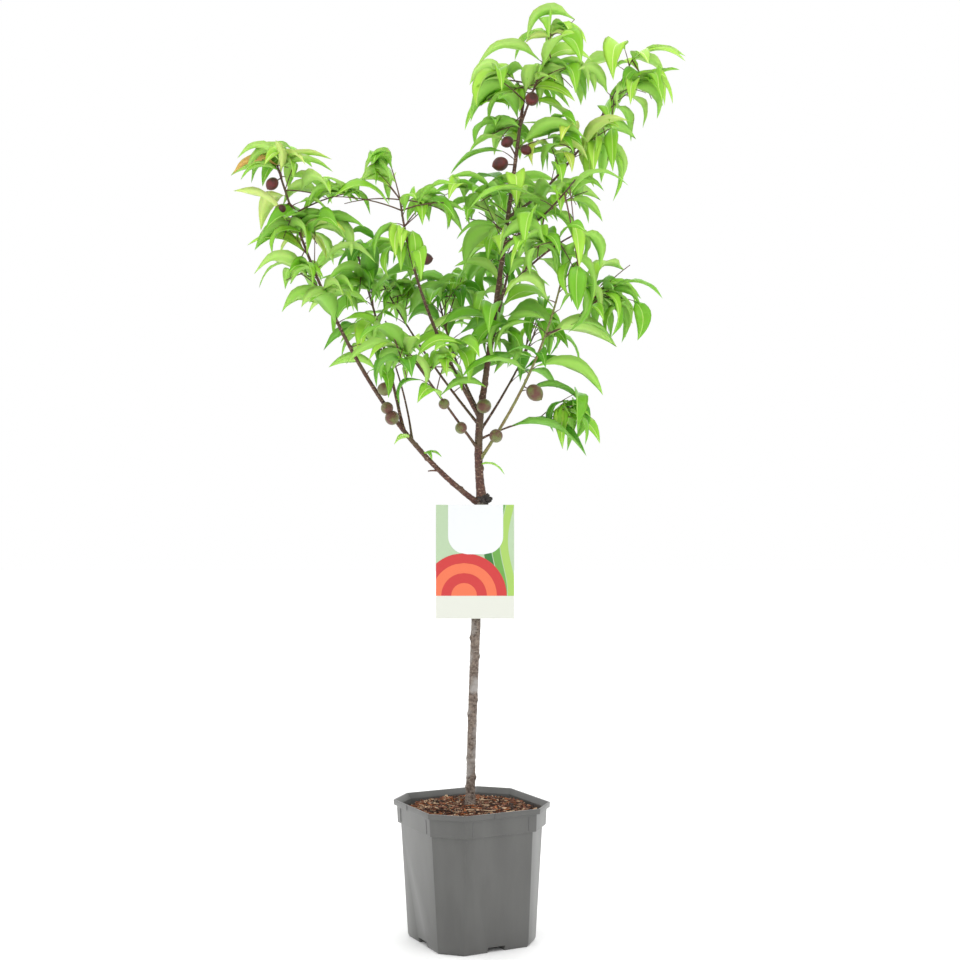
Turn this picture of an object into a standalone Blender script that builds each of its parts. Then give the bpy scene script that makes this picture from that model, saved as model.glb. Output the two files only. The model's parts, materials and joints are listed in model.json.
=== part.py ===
"""A young nectarine tree in an octagonal nursery pot, with its hang card.

The pot stands on Z = 0 and its middle is the origin. X runs across the front of the tree and Y away from it.
Every limb is one tapering, gently bowed tube that leaves a point on its parent, and every mass of leaves is one
uneven lump that sits at a place along the limb that carries it.
"""

import math
from dataclasses import dataclass

import bmesh
import bpy
from mathutils import Matrix, Vector, noise

GAP = 0.0003

# Pot: a square with cut corners, turned about its own axis
RIM_HALF = 0.095
POT_HEIGHT = 0.193
POT_TURN = math.radians(27.0)
RIM_CHAMFER = 0.39 * RIM_HALF
BASE_CHAMFER = 0.274 * RIM_HALF
BASE_HALF = 0.80 * RIM_HALF
FOOT_CHAMFER = 0.0015
FOOT_HEIGHT = 0.004
LIP_HEIGHT = 0.008
LIP_WALL = 0.0025
LIP_DRAFT = 0.0006
COLLAR_HEIGHT = 0.0245
SHOULDER_RISE = 0.0006
COLLAR_HALF = (0.0898, 0.0912)
BODY_TOP_HALF = 0.0862
WALL = 0.0019
FLOOR = 0.010
CHANNEL_WIDTH = 0.026
CHANNEL_HEIGHT = 0.007
CHANNEL_LENGTH = 0.045
DRAIN_RADIUS = 0.006
DRAIN_INSET = 0.009
DRAIN_SEGMENTS = 12

# Compost: low at the wall, with a flat mound round the trunk
SOIL_CLEARANCE = 1.3 * GAP
SOIL_EDGE = POT_HEIGHT - 0.012
SOIL_TOP = POT_HEIGHT - 0.006
MOUND_HALF = 0.062

# Hang card and the strap that ties it to the trunk
CARD_SIZE = (0.110, 0.0007, 0.160)
CARD_CENTRE = (0.005, -0.0165, 0.531)
STRAP_HEIGHT = 0.585
STRAP_WIDTH = 0.008
STRAP_THICKNESS = 0.0008
STRAP_FRONT_HALF = 0.004
STRAP_ARC_START = math.radians(-20.0)
STRAP_ARC_SWEEP = math.radians(220.0)
STRAP_ARC_STEPS = 12

# Facets of the limbs and of the masses of leaves
LIMB_STEPS = 7
TRUNK_STEPS = 14
SHARP_ANGLE = math.radians(50.0)
LEAF_SEGMENTS = 10
LEAF_RINGS = 7

# Masses of leaves: how far the rim of a lump hangs, how uneven it is and how clear it stays of its neighbours
DROOP = 0.35
UNEVEN = 0.20
UNEVEN_SCALE = 1.6
UNEVEN_STEP = Vector((3.7, 1.3, -2.1))
MASS_GAP = 0.0008


@dataclass(frozen=True)
class Limb:
    """One stem: the parent and share of it that it leaves from, its tip, its bow and its end radii."""

    name: str
    parent: str
    leaves_at: float
    tip: tuple
    bow: tuple
    radii: tuple
    finish: str = "young_bark"


@dataclass(frozen=True)
class Mass:
    """One lump of leaves: its limb, the share along it, its shift from there and its half sizes."""

    name: str
    limb: str
    share: float
    shift: tuple
    half: tuple


TRUNK_FOOT = Vector((-0.002, 0.0, SOIL_TOP))
TRUNK_TIP = Vector((0.0150, 0.0, 0.616))
TRUNK_BOW = Vector((-0.002, 0.0, 0.0))
TRUNK_RADII = (0.0062, 0.0068)
ROOT_FLARE = 0.0022
ROOT_FLARE_SHARE = 0.03
KNUCKLE_SWELL = 0.0035
KNUCKLE_SHARE = 0.035

LIMBS = (
    Limb("stem", "trunk", 1.0, (0.013, 0.0, 0.744), (-0.004, 0.0, 0.0), (0.0062, 0.0052)),
    Limb("leader", "stem", 1.0, (0.077, 0.0, 1.212), (0.001, 0.0, 0.0), (0.0046, 0.0021)),
    Limb("top_shoot", "leader", 0.87, (0.112, -0.030, 1.273), (0.002, 0.0, 0.0), (0.0017, 0.0009)),
    Limb("left_bough", "trunk", 0.985, (-0.270, -0.050, 1.083), (-0.019, 0.0, -0.056), (0.0042, 0.0014)),
    Limb("left_inner_bough", "left_bough", 0.33, (-0.168, 0.080, 0.977), (0.004, 0.0, -0.003), (0.0024, 0.0012)),
    Limb("left_slim_bough", "left_bough", 0.29, (-0.128, 0.050, 0.858), (0.006, 0.0, -0.001), (0.0016, 0.0009)),
    Limb("middle_bough", "stem", 0.93, (-0.099, -0.050, 1.035), (-0.019, 0.0, 0.002), (0.0030, 0.0014)),
    Limb("front_left_bough", "stem", 0.57, (-0.115, -0.120, 0.857), (-0.002, 0.0, 0.003), (0.0020, 0.0011)),
    Limb("back_left_bough", "stem", 0.84, (-0.133, 0.130, 0.941), (-0.005, 0.0, -0.003), (0.0020, 0.0011)),
    Limb("centre_bough", "stem", 0.96, (-0.053, 0.120, 0.941), (-0.008, 0.0, -0.003), (0.0022, 0.0011)),
    Limb("back_bough", "leader", 0.025, (0.081, 0.170, 1.064), (-0.006, 0.0, -0.006), (0.0026, 0.0013)),
    Limb("low_bough", "stem", 0.68, (0.128, 0.020, 0.738), (-0.001, 0.0, 0.006), (0.0015, 0.0009)),
    Limb("back_right_bough", "stem", 0.76, (0.095, 0.115, 0.870), (0.002, 0.0, -0.004), (0.0020, 0.0011)),
    Limb("green_bough", "stem", 0.44, (0.123, -0.060, 0.915), (0.015, 0.0, 0.002), (0.0024, 0.0013), "green_bark"),
    Limb("green_side_bough", "green_bough", 0.72, (0.188, 0.0, 0.912), (0.0, 0.0, -0.009), (0.0016, 0.0010)),
    Limb("right_bough", "leader", 0.59, (0.234, 0.050, 1.260), (0.003, 0.0, -0.029), (0.0022, 0.0010)),
    Limb("front_bough", "leader", 0.33, (0.145, -0.110, 0.978), (0.0, -0.008, 0.010), (0.0020, 0.0010)),
    Limb("front_right_bough", "leader", 0.51, (0.141, -0.100, 1.052), (0.001, 0.0, -0.009), (0.0020, 0.0010)),
)

MASSES = (
    Mass("left_tip_leaves", "left_bough", 1.00, (0.010, 0.0, 0.0), (0.075, 0.055, 0.030)),
    Mass("left_upper_leaves", "left_bough", 0.85, (0.0, 0.0, 0.0), (0.080, 0.050, 0.035)),
    Mass("left_middle_leaves", "left_bough", 0.77, (-0.030, 0.0, -0.010), (0.045, 0.050, 0.035)),
    Mass("left_lower_leaves", "left_bough", 0.69, (0.0, 0.0, 0.0), (0.040, 0.045, 0.020)),
    Mass("inner_top_leaves", "left_inner_bough", 1.00, (0.015, 0.005, 0.010), (0.055, 0.060, 0.040)),
    Mass("inner_middle_leaves", "left_inner_bough", 0.78, (-0.010, -0.010, 0.0), (0.050, 0.055, 0.035)),
    Mass("inner_lower_leaves", "left_slim_bough", 1.00, (-0.030, 0.0, -0.005), (0.035, 0.050, 0.045)),
    Mass("middle_top_leaves", "middle_bough", 1.00, (-0.030, 0.0, 0.040), (0.045, 0.050, 0.035)),
    Mass("middle_sweep_leaves", "middle_bough", 1.00, (-0.080, -0.010, -0.005), (0.065, 0.050, 0.025)),
    Mass("middle_right_leaves", "middle_bough", 0.96, (0.050, 0.010, 0.005), (0.050, 0.050, 0.035)),
    Mass("middle_upper_leaves", "middle_bough", 0.80, (-0.005, -0.010, -0.005), (0.030, 0.050, 0.040)),
    Mass("back_left_leaves", "back_left_bough", 0.94, (0.020, 0.020, 0.005), (0.045, 0.060, 0.050)),
    Mass("centre_leaves", "centre_bough", 0.91, (0.025, 0.0, 0.005), (0.045, 0.060, 0.055)),
    Mass("front_left_leaves", "front_left_bough", 0.78, (-0.005, -0.025, -0.025), (0.040, 0.060, 0.040)),
    Mass("low_middle_leaves", "front_left_bough", 0.54, (0.035, -0.005, 0.020), (0.040, 0.050, 0.030)),
    Mass("top_leaves", "top_shoot", 1.00, (0.015, 0.0, 0.005), (0.045, 0.040, 0.030)),
    Mass("upper_left_leaves", "leader", 0.97, (-0.040, 0.010, 0.005), (0.040, 0.060, 0.050)),
    Mass("upper_right_leaves", "leader", 1.00, (0.050, 0.0, 0.005), (0.050, 0.060, 0.045)),
    Mass("shoulder_leaves", "leader", 0.82, (-0.035, 0.020, 0.005), (0.050, 0.050, 0.025)),
    Mass("inner_right_leaves", "leader", 0.82, (0.060, -0.010, -0.010), (0.040, 0.060, 0.040)),
    Mass("right_tip_leaves", "right_bough", 0.91, (0.030, 0.005, -0.015), (0.060, 0.055, 0.050)),
    Mass("right_hanging_leaves", "right_bough", 0.59, (0.030, -0.010, -0.015), (0.030, 0.050, 0.070)),
    Mass("mid_left_leaves", "leader", 0.58, (-0.050, -0.030, 0.010), (0.050, 0.060, 0.045)),
    Mass("mid_right_leaves", "front_right_bough", 0.74, (0.030, 0.035, 0.005), (0.045, 0.050, 0.035)),
    Mass("front_leaves", "front_bough", 0.55, (-0.010, -0.030, 0.0), (0.045, 0.060, 0.040)),
    Mass("front_hanging_leaves", "front_bough", 1.00, (0.0, 0.010, -0.060), (0.025, 0.045, 0.085)),
    Mass("right_outer_leaves", "green_side_bough", 1.00, (0.025, 0.0, 0.0), (0.050, 0.055, 0.070)),
    Mass("lower_centre_leaves", "leader", 0.20, (0.015, -0.010, 0.008), (0.030, 0.050, 0.050)),
    Mass("lower_inner_leaves", "back_right_bough", 1.00, (0.005, -0.020, 0.015), (0.035, 0.050, 0.060)),
    Mass("lower_right_leaves", "low_bough", 1.00, (0.015, -0.020, 0.010), (0.035, 0.050, 0.060)),
    Mass("back_upper_leaves", "back_bough", 1.00, (-0.015, 0.010, 0.020), (0.050, 0.060, 0.050)),
    Mass("back_lower_leaves", "back_bough", 0.72, (-0.030, 0.040, -0.010), (0.045, 0.060, 0.055)),
)

FINISHES = {
    "pot_plastic": ((0.10, 0.10, 0.10, 1.0), 0.45),
    "compost": ((0.09, 0.04, 0.02, 1.0), 0.95),
    "trunk_bark": ((0.16, 0.13, 0.11, 1.0), 0.80),
    "young_bark": ((0.12, 0.05, 0.03, 1.0), 0.65),
    "green_bark": ((0.20, 0.24, 0.10, 1.0), 0.60),
    "foliage": ((0.12, 0.33, 0.04, 1.0), 0.55),
    "card": ((0.85, 0.84, 0.82, 1.0), 0.35),
    "strap": ((0.80, 0.82, 0.80, 1.0), 0.40),
}

TURN = Matrix.Rotation(POT_TURN, 4, "Z")


def clear_scene():
    """Remove whatever the file opened with."""
    for old in list(bpy.data.objects):
        bpy.data.objects.remove(old, do_unlink=True)


def new_collection(name):
    """A collection of that name, linked to the scene."""
    collection = bpy.data.collections.new(name)
    bpy.context.scene.collection.children.link(collection)
    return collection


def dress(piece, finish):
    """Give the piece its own Principled material in the named finish."""
    colour, roughness = FINISHES[finish]
    material = bpy.data.materials.new(f"{piece.name}_{finish}")
    material.use_nodes = True
    shader = material.node_tree.nodes["Principled BSDF"]
    shader.inputs["Base Color"].default_value = colour
    shader.inputs["Roughness"].default_value = roughness
    shader.inputs["Metallic"].default_value = 0.0
    material.diffuse_color = colour
    piece.data.materials.clear()
    piece.data.materials.append(material)


def add_mesh(name, bm, collection):
    """An object in the collection from a finished bmesh."""
    mesh = bpy.data.meshes.new(name)
    bm.to_mesh(mesh)
    bm.free()
    piece = bpy.data.objects.new(name, mesh)
    collection.objects.link(piece)
    return piece


def as_cutter(piece):
    """Mark a piece as a guide that is not part of the object."""
    piece.hide_render = True
    piece.display_type = "WIRE"
    return piece


def evaluated_mesh(piece):
    """The piece as it stands, in world coordinates, with doubled corners merged and only triangles."""
    bpy.context.view_layer.update()
    graph = bpy.context.evaluated_depsgraph_get()
    mesh = bpy.data.meshes.new_from_object(piece.evaluated_get(graph))
    bm = bmesh.new()
    bm.from_mesh(mesh)
    bm.transform(piece.matrix_world)
    bmesh.ops.remove_doubles(bm, verts=bm.verts, dist=1e-6)
    bmesh.ops.triangulate(bm, faces=bm.faces)
    bmesh.ops.recalc_face_normals(bm, faces=bm.faces)
    bpy.data.meshes.remove(mesh)
    return bm


def keep_largest(bm):
    """Drop every loose island of the mesh but the one with the most volume."""
    left = set(bm.faces)
    islands = []
    while left:
        stack = [left.pop()]
        island = set(stack)
        while stack:
            face = stack.pop()
            for edge in face.edges:
                for other in edge.link_faces:
                    if other in left:
                        left.remove(other)
                        island.add(other)
                        stack.append(other)
        islands.append(island)
    if len(islands) > 1:
        def size(island):
            centre = next(iter(island)).calc_center_median()
            return sum(abs((f.calc_center_median() - centre).dot(f.normal)) * f.calc_area() for f in island)
        islands.sort(key=size)
        loose = [face for island in islands[:-1] for face in island]
        bmesh.ops.delete(bm, geom=loose, context="FACES")


def boxes_meet(first, second):
    """True where the bounding boxes of two world-space meshes come within the gap of each other."""
    def span(piece):
        corners = [piece.matrix_world @ Vector(c) for c in piece.bound_box]
        return [(min(c[i] for c in corners), max(c[i] for c in corners)) for i in range(3)]
    return all(a[0] - GAP < b[1] and b[0] - GAP < a[1] for a, b in zip(span(first), span(second)))


def cut_back(piece, cutters):
    """Cut the piece back from each cutter whose box it meets, and keep what is left as one body."""
    near = [cutter for cutter in cutters if boxes_meet(piece, cutter)]
    for cutter in near:
        tool = piece.modifiers.new("cut_round_" + cutter.name, "BOOLEAN")
        tool.operation = "DIFFERENCE"
        tool.solver = "EXACT"
        tool.object = cutter
    bm = evaluated_mesh(piece)
    piece.modifiers.clear()
    bmesh.ops.dissolve_degenerate(bm, dist=1e-6, edges=bm.edges)
    keep_largest(bm)
    bm.to_mesh(piece.data)
    bm.free()


# Pot and compost
def octagon(half, height, inset=0.0):
    """Eight corners of the turned square with cut corners, pulled in evenly by the inset."""
    share = height / POT_HEIGHT
    chamfer = BASE_CHAMFER + (RIM_CHAMFER - BASE_CHAMFER) * share - (2.0 - math.sqrt(2.0)) * inset
    a = half - inset
    b = a - chamfer
    corners = [(-a, -b), (-b, -a), (b, -a), (a, -b), (a, b), (b, a), (-b, a), (-a, b)]
    return [TURN @ Vector((x, y, height)) for x, y in corners]


def stacked(name, levels, collection):
    """A closed body lofted through levels, each one ring of corners, with a cap on the first and the last."""
    bm = bmesh.new()
    rings = [[bm.verts.new(corner) for corner in level] for level in levels]
    for lower, upper in zip(rings, rings[1:]):
        for i in range(len(lower)):
            j = (i + 1) % len(lower)
            bm.faces.new((lower[i], lower[j], upper[j], upper[i]))
    bm.faces.new(list(reversed(rings[0])))
    bm.faces.new(rings[-1])
    bmesh.ops.recalc_face_normals(bm, faces=bm.faces)
    return add_mesh(name, bm, collection)


def body_half(height):
    """Half side of the tapering pot wall at that height."""
    top = POT_HEIGHT - LIP_HEIGHT - COLLAR_HEIGHT
    return BASE_HALF + (BODY_TOP_HALF - BASE_HALF) * (height - FOOT_HEIGHT) / (top - FOOT_HEIGHT)


def channel_cutter(name, cutters):
    """A bar that cuts one channel under the base."""
    bm = bmesh.new()
    bmesh.ops.create_cube(bm, size=1.0)
    bmesh.ops.scale(bm, vec=(2.0 * CHANNEL_LENGTH, CHANNEL_WIDTH, 2.0 * CHANNEL_HEIGHT), verts=bm.verts)
    return as_cutter(add_mesh(name, bm, cutters))


def drain_cutter(name, cutters):
    """A rod that cuts one drain hole through the floor."""
    bm = bmesh.new()
    bmesh.ops.create_cone(
        bm,
        cap_ends=True,
        segments=DRAIN_SEGMENTS,
        radius1=DRAIN_RADIUS,
        radius2=DRAIN_RADIUS,
        depth=FLOOR,
    )
    return as_cutter(add_mesh(name, bm, cutters))


def make_pot(collection, cutters):
    """Thin-walled pot with a foot, a stepped collar, a lip, base channels and drain holes."""
    under_collar = POT_HEIGHT - LIP_HEIGHT - COLLAR_HEIGHT
    under_lip = POT_HEIGHT - LIP_HEIGHT
    levels = [
        octagon(BASE_HALF - FOOT_CHAMFER, 0.0),
        octagon(BASE_HALF, FOOT_HEIGHT),
        octagon(BODY_TOP_HALF, under_collar),
        octagon(COLLAR_HALF[0], under_collar + SHOULDER_RISE),
        octagon(COLLAR_HALF[1], under_lip),
        octagon(RIM_HALF - LIP_DRAFT, under_lip + SHOULDER_RISE),
        octagon(RIM_HALF, POT_HEIGHT),
        octagon(RIM_HALF, POT_HEIGHT, LIP_WALL),
        octagon(COLLAR_HALF[1], under_lip, WALL),
        octagon(COLLAR_HALF[0], under_collar + WALL + SHOULDER_RISE, WALL),
        octagon(BODY_TOP_HALF, under_collar + WALL, WALL),
        octagon(body_half(FLOOR), FLOOR, WALL),
    ]
    pot = stacked("pot", levels, collection)
    for quarter in range(4):
        turn = TURN @ Matrix.Rotation(quarter * math.pi / 2.0, 4, "Z")
        channel = channel_cutter(f"channel_{quarter}", cutters)
        channel.matrix_world = turn @ Matrix.Translation((BASE_HALF, 0.0, 0.0))
        drain = drain_cutter(f"drain_{quarter}", cutters)
        drain.matrix_world = turn @ Matrix.Translation((BASE_HALF - CHANNEL_LENGTH + DRAIN_INSET, 0.0, FLOOR))
    bpy.context.view_layer.update()
    cut_back(pot, list(cutters.objects))
    dress(pot, "pot_plastic")
    return pot


def make_soil(collection):
    """Compost that fills the pot, a gap off its walls, with a flat mound in the middle."""
    under_collar = POT_HEIGHT - LIP_HEIGHT - COLLAR_HEIGHT
    clear = WALL + SOIL_CLEARANCE
    ledge = under_collar + WALL + GAP
    levels = [
        octagon(body_half(FLOOR), FLOOR + GAP, clear),
        octagon(BODY_TOP_HALF, ledge, clear),
        octagon(COLLAR_HALF[0], ledge + SHOULDER_RISE, clear),
        octagon(COLLAR_HALF[0], SOIL_EDGE, clear),
        octagon(MOUND_HALF, SOIL_TOP),
    ]
    soil = stacked("compost", levels, collection)
    dress(soil, "compost")
    return soil


# Limbs
def bow_point(foot, tip, bow, share):
    """A point on the curve from foot to tip whose middle stands off the straight line by the bow."""
    middle = (foot + tip) / 2.0 + 2.0 * bow
    return foot * (1.0 - share) ** 2 + middle * (2.0 * share * (1.0 - share)) + tip * share**2


class Skeleton:
    """The centre line of every limb, by name."""

    def __init__(self):
        self.lines = {"trunk": (TRUNK_FOOT, TRUNK_TIP, TRUNK_BOW)}
        for limb in LIMBS:
            foot = self.point(limb.parent, limb.leaves_at)
            self.lines[limb.name] = (foot, Vector(limb.tip), Vector(limb.bow))

    def point(self, name, share):
        """A point that share of the way along the named limb."""
        foot, tip, bow = self.lines[name]
        return bow_point(foot, tip, bow, share)


def trunk_radius(share):
    """The trunk's radius: nearly even, flared at the compost and swollen at the knuckle."""
    plain = TRUNK_RADII[0] + (TRUNK_RADII[1] - TRUNK_RADII[0]) * share
    flare = ROOT_FLARE * math.exp(-share / ROOT_FLARE_SHARE)
    knuckle = KNUCKLE_SWELL * math.exp(-(((1.0 - KNUCKLE_SHARE - share) / KNUCKLE_SHARE) ** 2))
    return plain + flare + knuckle


def tube(name, skeleton, limb_name, radius_at, steps, grow, collection):
    """A capped tube along a limb's line, thicker and longer all over by grow."""
    curve = bpy.data.curves.new(name, "CURVE")
    curve.dimensions = "3D"
    curve.bevel_depth = 1.0
    curve.bevel_resolution = 2
    curve.use_fill_caps = True
    spline = curve.splines.new("POLY")
    spline.points.add(steps)
    points = [skeleton.point(limb_name, i / steps) for i in range(steps + 1)]
    points[0] = points[0] - (points[1] - points[0]).normalized() * grow
    points[-1] = points[-1] + (points[-1] - points[-2]).normalized() * grow
    for i, (target, place) in enumerate(zip(spline.points, points)):
        target.co = (*place, 1.0)
        target.radius = radius_at(i / steps) + grow
    piece = bpy.data.objects.new(name + "_line", curve)
    collection.objects.link(piece)
    bm = evaluated_mesh(piece)
    bpy.data.objects.remove(piece, do_unlink=True)
    return add_mesh(name, bm, collection)


def make_limbs(collection, cutters):
    """Trunk and limbs, each cut back from those made before it. Returns the fat copies that cut the leaves."""
    skeleton = Skeleton()
    fat = []
    jobs = [("trunk", trunk_radius, TRUNK_STEPS, "trunk_bark")]
    for limb in LIMBS:
        def radius_at(share, ends=limb.radii):
            return ends[0] + (ends[1] - ends[0]) * share
        jobs.append((limb.name, radius_at, LIMB_STEPS, limb.finish))
    for name, radius_at, steps, finish in jobs:
        piece = tube(name, skeleton, name, radius_at, steps, 0.0, collection)
        cut_back(piece, fat)
        for polygon in piece.data.polygons:
            polygon.use_smooth = True
        piece.data.set_sharp_from_angle(angle=SHARP_ANGLE)
        dress(piece, finish)
        fat.append(as_cutter(tube(name + "_room", skeleton, name, radius_at, steps, GAP, cutters)))
    trunk = collection.objects["trunk"]
    bm = bmesh.new()
    bmesh.ops.create_cube(bm, size=2.0 * RIM_HALF)
    floor = as_cutter(add_mesh("compost_level", bm, cutters))
    floor.location = (0.0, 0.0, SOIL_TOP + GAP - RIM_HALF)
    bpy.context.view_layer.update()
    cut_back(trunk, [floor])
    return skeleton, fat


# Leaves
def leaf_lump(name, centre, half, seed, grow, collection):
    """A drooping, uneven lump of the given half sizes, larger all over by grow."""
    bm = bmesh.new()
    bmesh.ops.create_uvsphere(bm, u_segments=LEAF_SEGMENTS, v_segments=LEAF_RINGS, radius=1.0)
    offset = seed * UNEVEN_STEP
    for vert in bm.verts:
        way = vert.co.normalized()
        swell = 1.0 + UNEVEN * noise.noise(way * UNEVEN_SCALE + offset)
        out = Vector([way[i] * (half[i] * swell + grow) for i in range(3)])
        out.z -= DROOP * half[2] * (way.x**2 + way.y**2)
        vert.co = centre + out
    bmesh.ops.triangulate(bm, faces=bm.faces)
    bmesh.ops.recalc_face_normals(bm, faces=bm.faces)
    return add_mesh(name, bm, collection)


def make_leaves(skeleton, fat_limbs, collection, cutters):
    """Every mass of leaves, cut round the limbs and back from the masses made before it."""
    room = []
    for seed, mass in enumerate(MASSES, start=1):
        centre = skeleton.point(mass.limb, mass.share) + Vector(mass.shift)
        centre.z += DROOP * mass.half[2] / 2.0
        piece = leaf_lump(mass.name, centre, mass.half, seed, 0.0, collection)
        cut_back(piece, fat_limbs + room)
        dress(piece, "foliage")
        grown = leaf_lump(mass.name + "_room", centre, mass.half, seed, MASS_GAP, cutters)
        room.append(as_cutter(grown))


# Card and strap
def make_card(collection):
    """The flat hang card in front of the trunk."""
    bm = bmesh.new()
    bmesh.ops.create_cube(bm, size=1.0)
    bmesh.ops.scale(bm, vec=CARD_SIZE, verts=bm.verts)
    card = add_mesh("hang_card", bm, collection)
    card.location = CARD_CENTRE
    dress(card, "card")
    return card


def strap_outline(trunk, radius, front, front_half):
    """The band's outline seen from above: round the back of the trunk and flat against the card."""
    points = []
    for i in range(STRAP_ARC_STEPS + 1):
        angle = STRAP_ARC_START + STRAP_ARC_SWEEP * i / STRAP_ARC_STEPS
        points.append((trunk.x + radius * math.cos(angle), trunk.y + radius * math.sin(angle)))
    points.append((trunk.x - front_half, front))
    points.append((trunk.x + front_half, front))
    return points


def make_strap(skeleton, collection):
    """The narrow band that loops round the trunk behind the card."""
    share = (STRAP_HEIGHT - TRUNK_FOOT.z) / (TRUNK_TIP.z - TRUNK_FOOT.z)
    trunk = skeleton.point("trunk", share)
    lean = STRAP_WIDTH * abs(TRUNK_TIP.x - TRUNK_FOOT.x) / (TRUNK_TIP.z - TRUNK_FOOT.z)
    inner = trunk_radius(share) + GAP + lean
    back_of_card = CARD_CENTRE[1] + CARD_SIZE[1] / 2.0
    curve = bpy.data.curves.new("strap", "CURVE")
    curve.dimensions = "2D"
    curve.fill_mode = "BOTH"
    curve.extrude = STRAP_WIDTH / 2.0
    for grow in (STRAP_THICKNESS, 0.0):
        front = back_of_card + GAP + STRAP_THICKNESS - grow
        outline = strap_outline(trunk, inner + grow, front, STRAP_FRONT_HALF + grow)
        spline = curve.splines.new("POLY")
        spline.points.add(len(outline) - 1)
        spline.use_cyclic_u = True
        for target, place in zip(spline.points, outline):
            target.co = (*place, 0.0, 1.0)
    line = bpy.data.objects.new("strap_line", curve)
    collection.objects.link(line)
    line.location = (0.0, 0.0, STRAP_HEIGHT)
    bm = evaluated_mesh(line)
    bpy.data.objects.remove(line, do_unlink=True)
    strap = add_mesh("card_strap", bm, collection)
    dress(strap, "strap")
    return strap


def main():
    """Build the pot, the compost, the tree and its card."""
    clear_scene()
    tree = new_collection("potted_nectarine")
    pot_cutters = new_collection("pot_cutters")
    tree_cutters = new_collection("tree_cutters")
    make_pot(tree, pot_cutters)
    make_soil(tree)
    skeleton, fat_limbs = make_limbs(tree, tree_cutters)
    make_leaves(skeleton, fat_limbs, tree, tree_cutters)
    make_card(tree)
    make_strap(skeleton, tree)


main()
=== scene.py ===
"""The looks of a young nectarine tree in an octagonal nursery pot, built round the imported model.

Each sub-assembly is a class: the studio, the pot, the compost, the barked limbs, the crown of leaves, the
fruit and the hang card. Everything is in metres, with +Z up and the pot's underside on Z = 0.
"""

import json
import logging
import math
import random
from collections.abc import Callable
from dataclasses import dataclass, field
from enum import Enum
from functools import partial

import bmesh
import bpy
import numpy as np
from mathutils import Matrix, Vector, noise

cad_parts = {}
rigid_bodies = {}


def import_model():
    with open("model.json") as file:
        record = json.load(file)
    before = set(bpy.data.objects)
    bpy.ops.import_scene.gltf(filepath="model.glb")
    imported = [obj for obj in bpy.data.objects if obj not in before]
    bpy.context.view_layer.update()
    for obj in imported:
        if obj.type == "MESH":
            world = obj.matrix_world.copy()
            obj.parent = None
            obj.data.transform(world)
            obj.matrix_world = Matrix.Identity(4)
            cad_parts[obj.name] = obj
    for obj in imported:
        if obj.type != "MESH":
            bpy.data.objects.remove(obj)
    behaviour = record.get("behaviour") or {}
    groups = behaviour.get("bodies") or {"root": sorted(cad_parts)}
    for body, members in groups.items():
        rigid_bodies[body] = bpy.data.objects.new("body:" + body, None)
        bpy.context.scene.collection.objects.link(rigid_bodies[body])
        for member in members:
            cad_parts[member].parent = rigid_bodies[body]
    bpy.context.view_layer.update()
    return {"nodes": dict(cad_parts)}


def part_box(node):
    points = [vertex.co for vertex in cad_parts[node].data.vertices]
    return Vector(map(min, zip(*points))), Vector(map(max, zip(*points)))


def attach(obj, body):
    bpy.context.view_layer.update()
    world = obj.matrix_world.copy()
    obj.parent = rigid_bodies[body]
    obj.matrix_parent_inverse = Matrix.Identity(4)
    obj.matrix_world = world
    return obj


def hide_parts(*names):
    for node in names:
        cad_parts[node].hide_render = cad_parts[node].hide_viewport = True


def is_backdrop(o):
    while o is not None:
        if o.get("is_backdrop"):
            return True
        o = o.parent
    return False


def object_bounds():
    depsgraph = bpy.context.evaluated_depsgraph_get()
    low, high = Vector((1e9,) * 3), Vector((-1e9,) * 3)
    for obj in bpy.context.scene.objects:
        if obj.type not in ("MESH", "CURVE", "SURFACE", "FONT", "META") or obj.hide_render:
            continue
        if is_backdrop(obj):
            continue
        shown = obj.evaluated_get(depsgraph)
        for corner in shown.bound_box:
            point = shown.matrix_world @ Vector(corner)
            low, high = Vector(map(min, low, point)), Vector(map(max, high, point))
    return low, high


LOG = logging.getLogger("nectarine")
BODY = "root"
SEED = 71
GOLDEN_TURN = 2.39996
UNIT_BALL = 4.19
TRUNK_FOOT_X = -0.002


def srgb(red: int, green: int, blue: int) -> tuple[float, float, float, float]:
    """Turn a colour in 0 to 255 display steps into linear light.

    Args:
        red: Display value of red.
        green: Display value of green.
        blue: Display value of blue.

    Returns:
        The colour as linear red, green, blue and full alpha.
    """
    parts = [step / 255.0 for step in (red, green, blue)]
    linear = [p / 12.92 if p <= 0.04045 else ((p + 0.055) / 1.055) ** 2.4 for p in parts]
    return (linear[0], linear[1], linear[2], 1.0)


def deselect() -> None:
    """Leave edit mode and clear the selection."""
    if bpy.context.object and bpy.context.object.mode != "OBJECT":
        bpy.ops.object.mode_set(mode="OBJECT")
    bpy.ops.object.select_all(action="DESELECT")


def take_up(piece: bpy.types.Object) -> None:
    """Make the piece the only selected and the active object.

    Args:
        piece: The piece.
    """
    deselect()
    piece.select_set(True)
    bpy.context.view_layer.objects.active = piece


def apply_modifiers(piece: bpy.types.Object) -> None:
    """Apply every modifier of the piece in its order.

    Args:
        piece: The piece.
    """
    take_up(piece)
    for modifier in list(piece.modifiers):
        bpy.ops.object.modifier_apply(modifier=modifier.name)


def settle(piece: bpy.types.Object) -> None:
    """Put the piece's place, turn and scale into its mesh."""
    take_up(piece)
    bpy.ops.object.transform_apply(location=True, rotation=True, scale=True)


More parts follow.
